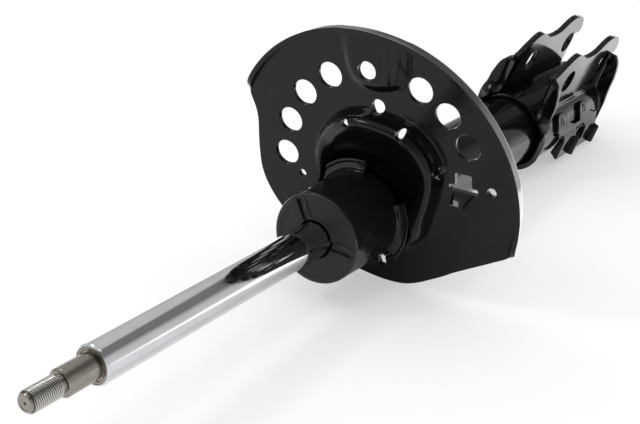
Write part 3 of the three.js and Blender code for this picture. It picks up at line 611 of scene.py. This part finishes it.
# ---- the tube and its closed end ----
finished("tube", turned([
    (TUBE_START, TUBE_BORE), (TUBE_END - 1, TUBE_BORE), (TUBE_END, TUBE_BORE + 0.6),
    (TUBE_END, TUBE_RADIUS - 1.4), (TUBE_END - 2.2, TUBE_RADIUS), (TUBE_START, TUBE_RADIUS),
], 0.6, 128), PAINT, "housing", "black_paint", "outer_tube")
finished("base_dish", turned([
    (TUBE_END - 3, 0), (TUBE_END - 3, 15.6), (TUBE_END - 4.2, 18.6), (TUBE_END - 8, 19.6),
    (TUBE_END - 8, 22.6), (TUBE_END - 2, 22.6), (TUBE_END - 0.4, 20), (TUBE_END, 17),
    (TUBE_END - 0.6, 9), (TUBE_END - 0.6, 0),
], 0.9, 128), PAINT, "housing", "black_paint", "base_cap")


# ---- the dust cap ----
def box(left, right, low, high):
    return [(left, low), (right, low), (right, high), (left, high)]


def dust_cap():
    shell = turned([
        (CAP_FRONT, 12.1), (CAP_FRONT + 0.5, 11.8), (CAP_FRONT + 4, 11.8), (CAP_FRONT + 4, 25.7),
        (CAP_BACK, 25.7), (CAP_BACK, CAP_SKIRT), (CAP_FRONT + 3.4, CAP_SKIRT - 0.4),
        *[(CAP_FRONT + 3 * (1 - sin(a)), CAP_SKIRT - 3.4 + 3 * cos(a))
          for a in (i * math.pi / 12 for i in range(7))],
        (CAP_FRONT, 24), (CAP_FRONT + 0.35, 23.2), (CAP_FRONT + 0.35, 12.8),
    ], 0.25, 128)
    section = [(CAP_BACK - back, CAP_SKIRT + out) for back, out in (
        (0, -1), (0, 7.6), (3.6, 7.6), (3.6, 6), (2.2, 5), (2.4, 1.6), (4.2, 0), (4.2, -1))]
    lips = [turned(section, 0.4, 24, turn - radians(31), radians(62)) for turn in CAP_LIP_TURNS]
    grooves, beads = [], []
    for turn in CAP_LIP_TURNS:
        place = Matrix.Rotation(turn, 4, "X") @ Matrix.Translation((-CAP_FRONT, 0, 0)) @ Matrix((
            (0, 0, 1, 0), (1, 0, 0, 0), (0, 1, 0, 0), (0, 0, 0, 1)))
        grooves.append(outlined(box(9, 25.6, -2.7, 2.7), place, -2.3, 4, 0.7))
        beads += [outlined(box(13, 27, side, side + 0.9), place, -1.2, 0.25, 0.3)
                  for side in (-3.5, 2.6)]
    shell = combined(shell, lips + beads, "UNION")
    return combined(shell, grooves, "DIFFERENCE")


finished("dust_cap_moulding", dust_cap(), PLASTIC, "housing", "cap_plastic", "dust_cap")


# ---- the spring seat ----
def round_the_circle(pairs):
    """A value for any angle in degrees, eased through a few [degrees, value] pairs."""
    count = len(pairs)

    def slope(i):
        (from_angle, low), (to_angle, high) = pairs[i % count], pairs[(i + 1) % count]
        return (high - low) / ((to_angle - from_angle) % 360)

    def tangent(i):
        before, after = slope(i - 1), slope(i)
        return 2 * before * after / (before + after) if before * after > 0 else 0

    def value(degrees):
        i = max(range(count), key=lambda k: (pairs[k][0] <= degrees, pairs[k][0]))
        (from_angle, low), (to_angle, high) = pairs[i], pairs[(i + 1) % count]
        span = (to_angle - from_angle) % 360
        t = ((degrees - from_angle) % 360) / span
        return (low * (1 + 2 * t) * (1 - t) ** 2 + tangent(i) * span * t * (1 - t) ** 2
                + high * t * t * (3 - 2 * t) + tangent(i + 1) * span * t * t * (t - 1))

    return value


HUMP_HEIGHT = 13
WELL_WIDTH = 12.8
RIM_HEIGHT = 7
COLLAR_RADIUS = 27.35
COLLAR_END = -16

# By the angle round the strut's axis: from the tube to the hump's crest, the shares of the
# hump's height and the well's width, the well's depth, and the share of the rim's height.
hump_reach = round_the_circle([
    (4, 10.5), (11, 13.5), (20, 18), (27, 20.6), (34, 23), (41, 28), (49, 35), (58, 44.5),
    (64, 47.6), (71, 49.4), (78, 50), (85, 49), (92, 47), (101, 45), (112, 41), (124, 33.5),
    (135, 26.5), (146, 18), (158, 10.5), (172, 5.5), (190, 4.5), (320, 4.5), (343, 5), (353, 7.5),
])
hump_share = round_the_circle([
    (343, 0), (0, 0.12), (10, 0.36), (22, 0.72), (34, 1), (105, 1), (112, 0.92), (123, 0.62),
    (134, 0.3), (146, 0.1), (160, 0),
])
well_share = round_the_circle([
    (0, 0.7), (25, 1), (140, 1), (156, 0.6), (172, 0.5), (320, 0.5), (340, 0.55),
])
well_depth = round_the_circle([
    (0, 6), (18, 8.6), (34, 9), (140, 9), (156, 6.5), (172, 3.4), (190, 1.6), (320, 1.6), (343, 3),
])
rim_share = round_the_circle([(18.4, 0), (20.6, 0.55), (27, 0.9), (36, 1), (153, 1), (158, 0)])


def seat_outline():
    """The seat's edge: an elliptical rim, a corner at each end of it and a lower edge."""
    points = [Vector((2 + 97.5 * cos(radians(a)), 33 + 94 * sin(radians(a))))
              for a in range(177, 11, -3)]
    points.append(Vector((99.5, 35.5)))
    through = [Vector(p) for p in (
        (54, -19), (44, -28), (27, -35), (0, -39), (-28, -37), (-52, -28), (-70, -13), (-79, 7),
        (-85, 27), (-91, 35))]
    for i in range(len(through) - 1):
        a, b = through[max(i - 1, 0)], through[i]
        c, d = through[i + 1], through[min(i + 2, len(through) - 1)]
        for k in range(6):
            t = k / 6
            points.append(0.5 * (2 * b + (c - a) * t + (2 * a - 5 * b + 4 * c - d) * t * t
                                 + (3 * b - a - 3 * c + d) * t ** 3))
    points.append(through[-1])
    return points


def reach(outline, degrees):
    """The distance from the strut's axis to the outline in a direction."""
    direction = Vector((cos(radians(degrees)), sin(radians(degrees))))
    furthest = 0
    for start, end in zip(outline, outline[1:] + outline[:1]):
        edge = end - start
        slant = direction.cross(edge)
        if abs(slant) > 1e-9 and -1e-9 <= start.cross(direction) / slant <= 1 + 1e-9:
            furthest = max(furthest, start.cross(edge) / slant)
    return furthest


OUTLINE = seat_outline()
SEAT_CORNERS = (19.7, 156.8)  # the angles of its two corners, where the rim ends


def seat_column(degrees):
    """Points over the sheet's middle surface in one direction, from the collar outwards."""
    angle = radians(degrees)
    height = HUMP_HEIGHT * hump_share(degrees)
    sunk = well_depth(degrees)
    well = TUBE_RADIUS + WELL_WIDTH * well_share(degrees)
    rim = TUBE_RADIUS + hump_reach(degrees)
    edge = reach(OUTLINE, degrees)
    room = smooth(edge - rim, 0, 18)
    upturn = RIM_HEIGHT * rim_share(degrees)
    upright = smooth(degrees, 24, 44)  # the flange leans out towards its near corner
    collar, floor = COLLAR_RADIUS, COLLAR_RADIUS + 3.2
    found = [
        Vector((r * cos(angle) - z * SEAT_SLOPES[0], r * sin(angle) + z * SEAT_SLOPES[1], z))
        for r, z in ((collar, COLLAR_END), (collar, COLLAR_END + 2), (collar, -sunk - 3),
                     (collar + 1.6, -sunk - 0.6), (floor, -sunk), ((floor + well) / 2, -sunk),
                     (well - 1, -sunk), (well + 0.9, -sunk * 0.78))
    ]

    def slope(radius):
        return sunk * (smooth(radius, well - 2, edge + 1) - 1)

    shoulder = min(room, smooth(rim - well, 1, 14))
    profile = [
        *[(rim - back * shoulder, height - down * shoulder)
          for back, down in ((9, 5.6), (5.4, 2.4), (1.8, 0.6))],
        *[(rim + out * room, height * left) for out, left in (
            (0.3, 0.99), (1.5, 0.89), (2.8, 0.64), (4, 0.26), (5.2, 0.05), (6.5, 0))],
        *[(mixed(rim + 6.5 * room, edge - 4 * room, k / 4), 0) for k in (1, 2, 3)],
        *[(edge - mixed(far, near, upright) * room, upturn * mixed(low, high, upright))
          for far, low, near, high in (
              (6.7, 0, 4, 0), (4.9, 0.05, 2.3, 0.01), (3.6, 0.22, 1.4, 0.09), (2.5, 0.5, 1.1, 0.3),
              (1.6, 0.85, 0.8, 1))],
    ]
    least, step = well + 1.2, 0.3  # each row lies outside the well and the row before it
    for i, (r, z) in enumerate(profile):
        if i and r < profile[i - 1][0] + step or r < least:
            profile[i] = (max(least + step * i, profile[i - 1][0] + step if i else 0), z)
    crest = [Vector((r * cos(angle), r * sin(angle), mixed(slope(r), z, room)))
             for r, z in profile]
    wall = [found[-1].lerp(crest[0], k / 4) for k in (1, 2, 3)]
    return found + wall + crest


# The raised pad above the hump, and the fine ribs down its near side.
PAD_EASE = 2.4
RIB_HEIGHT, RIB_HALF = 0.7, 2.2
PAD = [Vector(p) for p in (
    (-45, 112), (-38.5, 99), (-33.5, 91), (-28.3, 87.5), (-20.6, 87.4), (-12, 90.5), (-8.6, 93),
    (-4, 96), (0, 101), (-1.5, 108), (-5, 126), (-40, 126),
)]
PAD_RIBS = [[Vector(p) for p in rib] for rib in (
    ((-16, 117.7), (-8.4, 95)), ((-10.9, 120.8), (-4.4, 100.9)), ((-3.9, 122.1), (1.5, 105.9)))]


def inside(outline, point):
    """The distance to an outline's edge, positive inside it."""
    nearest, within = 1e9, False
    for start, end in zip(outline, outline[1:] + outline[:1]):
        edge = end - start
        share = min(1, max(0, (point - start).dot(edge) / edge.length_squared))
        nearest = min(nearest, (point - start - edge * share).length)
        if (start.y > point.y) != (end.y > point.y):
            if point.x < start.x + edge.x * (point.y - start.y) / edge.y:
                within = not within
    return nearest if within else -nearest


def spring_seat():
    even = [a for a in range(0, 360, 4) if min(abs(a - c) for c in SEAT_CORNERS) > 2]
    around = sorted(even + [c + d for c in SEAT_CORNERS for d in (-1.6, 0, 1.6)])
    columns = [seat_column(a) for a in around]
    bm = bmesh.new()
    bmesh.ops.create_circle(bm, segments=len(around), radius=1)
    which = bm.verts.layers.int.new("column")
    for i, vert in enumerate(bm.verts):
        vert[which] = i
        vert.co = columns[i][0]
    edges = bm.edges[:]
    for row in range(1, len(columns[0])):
        verts, edges = next_row(bm, edges, which)
        for vert in verts:
            vert.co = columns[vert[which]][row]
    bmesh.ops.recalc_face_normals(bm, faces=bm.faces)
    bm = modified(bm, ("SUBSURF", {"levels": 2, "render_levels": 2}))
    for vert in bm.verts:
        point = vert.co.xy
        if point.y > 80:
            raised = smooth(inside(PAD, point), -PAD_EASE, PAD_EASE)
            vert.co.z += raised * mixed(2.6, 0.8, smooth(point.y, 88, 118))
            for rib in PAD_RIBS:
                vert.co.z += RIB_HEIGHT * smooth(abs(inside(rib, point)), RIB_HALF, 0)
    bm = rounded(thick_sheet(bm, SEAT_SHEET), 0.6, 3)
    bm = combined(bm, seat_cutters(), "DIFFERENCE")
    bm = combined(bm, [seat_tab()], "UNION")
    bm.transform(SEAT)
    return bm


# Each hole's middle and radius. Those in the flat have an eased edge.
FLAT_HOLES = [
    (-57.8, 12.3, 7.9), (-61.6, 35.7, 7.9), (-57.5, 59.3, 7.9), (-45.1, 79.7, 7.9),
    (-22.9, 96.7, 5.6), (10.8, 102.4, 7.9), (31.2, 96.7, 7.9), (49, 85.3, 7.9),
]
SMALL_HOLES = [
    (-43.7, 4.6, 2.6), (-9.9, 78.5, 4.4), (-21.9, 64, 2.6), (12.1, 76.3, 2.4), (39.7, 63.8, 2),
    (71.9, 67.1, 2.9), (24.5, -21.3, 3),
]


def seat_cutters():
    cutters = []
    half, far = SEAT_SHEET / 2, 40
    upright = Matrix.Rotation(-math.pi / 2, 4, "Y")
    for holes, ease in ((FLAT_HOLES, 0.5), (SMALL_HOLES, 0)):
        for x, y, radius in holes:
            wide = radius + ease
            edge = [(-half, wide), (-half + ease, radius), (half - ease, radius), (half, wide)]
            profile = [(-far, 0), (-far, wide), *(edge if ease else []), (far, wide), (far, 0)]
            drill = turned(profile, 0.2, 40)
            drill.transform(Matrix.Translation((x, y, 0)) @ upright)
            cutters.append(drill)
    window = [(-5.4, -1.2), (-9.3, -1.2), (-9.3, -5), (9.3, -5), (9.3, -1.2), (5.4, -1.2),
              (5.4, 6.8), (-5.4, 6.8)]
    cutters.append(outlined(eased(window, 1.4, True), window_lie(), -far, far))
    return cutters


def window_lie():
    return Matrix.Translation((54.7, 61.5, 0)) @ Matrix.Rotation(radians(20), 4, "Z")


def seat_tab():
    """The tab cut free at the window's foot and bent out towards the rod."""
    outline = eased([(-6.7, 0), (5.4, 0), (3.4, -10.4), (-5.5, -10.4)], 1, True)
    place = window_lie() @ Matrix.Translation((0, -6, 0)) @ Matrix.Rotation(radians(-57), 4, "X")
    return outlined(outline, place, -1.25, 1.25, 0.3)


def give_rim_sheen(pressing):
    """The outer face of the turned-up rim gets the paint with the stronger mirror, a painted reflection band."""
    pressing.data.materials.append(RIM_SHEEN_PAINT)
    to_seat = (STRUT @ SEAT).inverted()
    turn = to_seat.to_3x3().normalized()
    for face in pressing.data.polygons:
        place, facing = to_seat @ face.center, turn @ face.normal
        degrees = math.degrees(math.atan2(place.y, place.x)) % 360
        outward = abs(facing.z) < 0.75 and place.xy.dot(facing.xy) > 0
        if outward and place.xy.length > 75 and 34 < degrees < 158:
            # Faces near the outline take the second paint, the painted reflection band.
            face.material_index = int(reach(OUTLINE, degrees) - place.xy.length < 3)


give_rim_sheen(finished("seat_pressing", spring_seat(), PAINT, "housing", "black_paint", "spring_seat",
                   sharp=40))


# ---- the knuckle bracket: one sheet, folded round the tube, with its ears' edges turned out ----
EAR_FOOT = 26.8  # height at which an ear starts to bend into the sleeve
EAR_BEND = 10
EAR_MEETS = math.atan2(EAR_FOOT, EAR_MIDDLE + EAR_BEND)  # where the bend meets the sleeve
SLEEVE_MIDDLE = SLEEVE_RADIUS - SLEEVE_WALL / 2
EAR_ROWS, BEND_ROWS, SLEEVE_ROWS = 16, 6, 24
SLEEVE_FROM = EAR_ROWS + BEND_ROWS
SIDE_ROWS = SLEEVE_FROM + SLEEVE_ROWS
BODY_STEPS, EDGE_STEPS, LOBE_STEPS = 34, 10, 5
FRONT_FOLD, REAR_FOLD = 445.8, 543.6  # depths at which the turned-out edges start to bend
FLAT_ABOVE = 51.5  # height from which the front edge runs on flat
SLIT_HEIGHT = 50.7  # where the rear edge is slit, below the lobe that runs on flat
BEND_LEVEL = 20.8  # height of the turned-out edge beside the foot of the ear's bend
TURNED_TO = -0.27  # angle on the sleeve down to which the edges are fully turned out
DENT_DEPTH, DENT_HEIGHT, DENT_SPREAD = 4, 21.5, 4.6  # in the front turned-out edges

EAR_EDGE = curve([
    (440.3, 53), (450.3, 60), (458.3, 63), (462.3, 65), (468.3, 68.3), (476.3, 67.3),
    (482.3, 63.5), (489.3, 58.5), (504.3, 58.8), (511.3, 60.3), (518.3, 62.5), (524.3, 68.3),
    (534.3, 67.3), (544.3, 66.5), (552.3, 62), (554.8, 53.5),
], 12)


def level_at(line, place):
    """The second value of a line of points, where the first one has a given value."""
    for a, b in zip(line, line[1:]):
        if (a[0] - place) * (b[0] - place) <= 0 and a[0] != b[0]:
            return mixed(a[1], b[1], (place - a[0]) / (b[0] - a[0]))
    return min(line, key=lambda p: abs(p[0] - place))[1]


def side_section(depth):
    """One side's middle line, [across, up], from the ear's top round to under the tube."""
    top = level_at(EAR_EDGE, depth)
    line = [Vector((EAR_MIDDLE, mixed(top, EAR_FOOT, k / EAR_ROWS))) for k in range(EAR_ROWS)]
    centre = Vector((EAR_MIDDLE + EAR_BEND, EAR_FOOT))
    for k in range(BEND_ROWS):
        angle = math.pi + EAR_MEETS * k / BEND_ROWS
        line.append(centre + EAR_BEND * Vector((cos(angle), sin(angle))))
    for k in range(SLEEVE_ROWS + 1):
        angle = mixed(EAR_MEETS, -math.pi / 2, k / SLEEVE_ROWS)
        line.append(SLEEVE_MIDDLE * Vector((cos(angle), sin(angle))))
    return line


# How far out each turned edge reaches at a height, as [height, reach] from the top down.
FRONT_REACH = [(53.5, 16), (52.6, 19), (51, 21.6), (48, 24), (43, 25.7), (35, 27.4), (26, 27.6),
               (18, 28.6), (10, 29.8), (0, 30.1), (-6, 29.6)]
REAR_REACH = [(53.4, 17.5), (52.4, 20.5), (50, 24), (46.5, 26.4), (43, 27.6), (35, 29), (26, 29.2),
              (18, 29.8), (10, 30.6), (-3, 30), (-8, 29.6)]


def edge_target(row, root, reaches):
    """Where a turned edge ends, [across, up], for a row of the sheet."""
    turn = math.atan2(root.y, root.x)
    if row >= SLEEVE_FROM and turn <= TURNED_TO:
        flare = mixed(2.9, 0, smooth(-turn, -TURNED_TO, 1.0))
        return (SLEEVE_MIDDLE + flare) * Vector((cos(turn), sin(turn)))
    if row <= EAR_ROWS:
        height = root.y
    elif row < SLEEVE_FROM:
        height = mixed(EAR_FOOT, BEND_LEVEL, (row - EAR_ROWS) / BEND_ROWS)
    else:
        height = mixed(BEND_LEVEL, -8, smooth(turn, EAR_MEETS, TURNED_TO))
    return Vector((level_at(reaches, height), height))


def folded(root, target, fold, side, along, share):
    """A point on the way from the fold out to the turned edge, in the strut's millimetres."""
    out = target - root
    reach_out = max(out.length, 1e-3)
    if reach_out >= along:
        turn, radius = math.pi / 2, along
    else:
        turn = 2 * math.atan(reach_out / along)
        radius = along / sin(turn)
    run = share * (radius * turn + max(0, reach_out - along))
    arc = min(run / radius, turn)
    beyond = max(0, run - radius * turn)
    forward = radius * sin(arc) + (beyond * cos(turn) if turn < 1.5 else 0)
    place = root + out.normalized() * (radius * (1 - cos(arc)) + beyond * sin(turn))
    return Vector((-(fold + side * forward), place.x, place.y))


def knuckle_sheet():
    count = 2 * SIDE_ROWS + 1
    body = [mixed(FRONT_FOLD, REAR_FOLD, k / BODY_STEPS) for k in range(BODY_STEPS + 1)]
    bm = bmesh.new()
    which = bm.verts.layers.int.new("row")

    def mirrored(i, place):
        return Vector((place.x, -place.y, place.z)) if i > SIDE_ROWS else place

    def side_of(i):
        return i if i <= SIDE_ROWS else count - 1 - i

    def swept(edges, place):
        verts, edges = next_row(bm, edges, which)
        for vert in verts:
            vert.co = mirrored(vert[which], place(side_of(vert[which])))
        return edges

    first_line = side_section(body[0])
    geometry = chain(bm, [(0, i, 0) for i in range(count)])
    for i, vert in enumerate(geometry[:count]):
        vert[which] = i
        vert.co = mirrored(i, Vector((-body[0], *first_line[side_of(i)])))
    front = edges = geometry[count:]
    for depth in body[1:]:
        line = side_section(depth)
        edges = swept(edges, lambda row: Vector((-depth, *line[row])))

    # The front edge: flat at the ear's top, turned out and dented below it, flared on the sleeve.
    def front_place(share):
        def place(row):
            root = first_line[row]
            if root.y > FLAT_ABOVE:
                down = smooth(root.y, 58, FLAT_ABOVE)
                return Vector((-(FRONT_FOLD - 5.5 * share * mixed(0.55, 1, down)), EAR_MIDDLE,
                               mixed(root.y, min(root.y, 53 + 3 * (1 - down)), share)))
            along = mixed(5, 7.4, smooth(row, SLEEVE_FROM, SLEEVE_FROM + 10))
            bent = folded(root, edge_target(row, root, FRONT_REACH), FRONT_FOLD, -1, along, share)
            dent = math.exp(-((bent.z - DENT_HEIGHT) / DENT_SPREAD) ** 2)
            bent.x += DENT_DEPTH * sin(math.pi * share) * dent
            return bent
        return place

    for k in range(1, EDGE_STEPS + 1):
        front = swept(front, front_place(k / EDGE_STEPS))

    # The rear edge: a lobe that runs on flat, and below a slit the edge turned out.
    last_line = side_section(REAR_FOLD)
    slit = min(range(EAR_ROWS), key=lambda row: abs(last_line[row].y - SLIT_HEIGHT))
    lobe = [(546.2, 64.9), (549.4, 62.9), (552, 60.2), (553.9, 57), (554.7, 53.9), (554.2, 51.8),
            (551.6, 51)]

    def lobe_place(share):
        def place(row):
            at = row / slit * (len(lobe) - 1)
            low = min(int(at), len(lobe) - 2)
            depth, height = (mixed(a, b, at - low) for a, b in zip(lobe[low], lobe[low + 1]))
            return Vector((-mixed(REAR_FOLD, depth, share), EAR_MIDDLE,
                           mixed(last_line[row].y, height, share)))
        return place

    def rear_place(share):
        def place(row):
            root = last_line[row]
            along = mixed(3.4, 5.7, smooth(row, SLEEVE_FROM, SLEEVE_FROM + 10))
            return folded(root, edge_target(row, root, REAR_REACH), REAR_FOLD, 1, along, share)
        return place

    upper = [e for e in edges if max(side_of(v[which]) for v in e.verts) <= slit]
    lower = [e for e in edges if e not in upper]
    for k in range(1, LOBE_STEPS + 1):
        upper = swept(upper, lobe_place(k / LOBE_STEPS))
    for k in range(1, EDGE_STEPS + 1):
        lower = swept(lower, rear_place(k / EDGE_STEPS))

    bm = thick_sheet(bm, EAR_SHEET, 1)
    for vert in bm.verts:  # the sheet is thinner where it wraps the tube
        past = vert.co.yz.length - SLEEVE_RADIUS
        if 0 < past < 1.5 and vert.co.z < EAR_FOOT:
            kept = past * smooth(past, 0.3, 1.5)
            vert.co.yz = vert.co.yz * ((SLEEVE_RADIUS + kept) / (SLEEVE_RADIUS + past))
    return combined(rounded(bm, 0.5), bolt_drills(), "DIFFERENCE")


def bolt_drills():
    low, high = EAR_MIDDLE - EAR_SHEET / 2, EAR_MIDDLE + EAR_SHEET / 2
    wide, narrow = BOLT_HOLE + 0.3, BOLT_HOLE - 0.3
    drills = []
    for depth in BOLT_DEPTHS:
        for side in (1, -1):
            drill = turned([
                (low - 5, 0), (low - 5, BOLT_HOLE), (low, BOLT_HOLE), (low + 0.5, narrow),
                (high - 0.3, BOLT_HOLE), (high, wide), (high + 5, wide), (high + 5, 0),
            ], 0.1, 48)
            drill.transform(Matrix.Translation((-depth, 0, BOLT_HEIGHT))
                            @ Matrix.Rotation(math.pi / 2 * -side, 4, "Z"))
            drills.append(drill)
    return drills


def saddle():
    """The strap that closes the sleeve over the tube between the ears' roots."""
    inner, outer = 25.75, SLEEVE_RADIUS - 0.4
    return turned([
        (BRACKET_START, inner), (BRACKET_START, outer), (BRACKET_END, outer), (BRACKET_END, inner),
    ], 1.2, 40, radians(46), radians(88))


for piece_name, piece in (("bracket_pressing", knuckle_sheet()), ("bracket_saddle", saddle())):
    finished(piece_name, piece, PAINT, "housing", "black_paint", "knuckle_bracket", sharp=40)


# ---- the hose bracket: two bent lugs and the strip between them ----
LUG_SHEET = 2.4
LUG_TONGUES = ((465.3, 483.3), (504.3, 520.3))
LUG_LEGS = ((478.3, 499.3), (516.3, 536.8))
LUG_LINE = 32.8  # from the strut's axis to the middle of a leg's sheet
TONGUE_TOP = (0.38, 0.68, 0.86, 0.95, 1)  # its width, row by row, as shares of the whole width


def on_circle(radius, angles):
    return [(radius * cos(radians(a)), radius * sin(radians(a))) for a in angles]


LUG_PATH = [
    *on_circle(30.5, (41, 40, 38.6, 37, 34.5, 31.5, 28, 24, 20, 16.5)),
    (29.8, 6.9), (30.2, 5.2), (31.1, 3.2), (32.2, 1),
    *[(LUG_LINE, up) for up in (-1.2, -4, -8, -12, -15.5, -17)],
]


def lug(tongue, leg):
    """A tongue on the sleeve with a rounded top, a shelf below it and a leg that hangs down."""
    columns = 10
    bm = bmesh.new()
    column = bm.verts.layers.int.new("column")
    geometry = chain(bm, [(k, 0, 0) for k in range(columns + 1)])
    verts, edges = geometry[:columns + 1], geometry[columns + 1:]
    for k, vert in enumerate(verts):
        vert[column] = k
    middle = sum(tongue) / 2
    for i, (across, up) in enumerate(LUG_PATH):
        half = (tongue[1] - tongue[0]) / 2 * TONGUE_TOP[min(i, len(TONGUE_TOP) - 1)]
        start = mixed(middle - half, leg[0], smooth(up, 9, 2.5))
        end = mixed(middle + half, leg[1], smooth(up, 13, 6))
        if i:
            verts, edges = next_row(bm, edges, column)
        for vert in verts:
            vert.co = (-mixed(start, end, vert[column] / columns), across, up)
    return rounded(thick_sheet(bm, LUG_SHEET, 1), 0.4)


def crossways(outline, start, end, radius=0.4):
    """A plate across the strut, from an [across, up] outline, between two depths."""
    place = Matrix(((0, 0, -1, 0), (1, 0, 0, 0), (0, 1, 0, 0), (0, 0, 0, 1)))
    return outlined(outline, place, start, end, radius)


def hose_bracket():
    face, foot, top = 34, -17, -1.5
    inward = [(27.5, foot + 3), (face - 0.3, foot), (face - 0.3, top), (29.8, top + 1.2)]
    outward = [(face - 1.8, foot - 0.05), (38.1, foot + 1), (38.1, top), (face - 1.8, top + 1)]
    pieces = []
    for tongue, leg in zip(LUG_TONGUES, LUG_LEGS):
        pieces.append(lug(tongue, leg))
        pieces.append(crossways(eased(inward, 1, True), leg[0] - 0.05, leg[0] + LUG_SHEET))
        pieces.append(crossways(eased(outward, 1, True), leg[1] - LUG_SHEET, leg[1] + 0.05))
    strip = on_circle(29.35, range(8, 17, 2)) + on_circle(31.65, range(16, 7, -2))
    body = crossways(strip, LUG_TONGUES[0][0] + 3, LUG_LEGS[1][1] - 0.2, 0.35)
    return combined(combined(body, pieces, "UNION"), [weld(471.8, 29), weld(511.2, 31)], "UNION")


def weld(depth, degrees):
    """The raised oval ring that a projection weld leaves on a tongue."""
    bead = turned([(31.2, 1.7), (31.95, 2.1), (32.1, 2.5), (31.95, 2.9), (31.2, 3.3)], 0.1, 28)
    bead.transform(Matrix.Diagonal((-1, 0.85, 1, 1)))
    bmesh.ops.recalc_face_normals(bead, faces=bead.faces)
    bead.transform(Matrix.Translation((-depth, 0, 0)) @ Matrix.Rotation(radians(degrees), 4, "X")
                   @ Matrix.Rotation(math.pi / 2, 4, "Z"))
    return bead


finished("hose_lugs", hose_bracket(), PAINT, "housing", "black_paint", "hose_bracket", sharp=40)
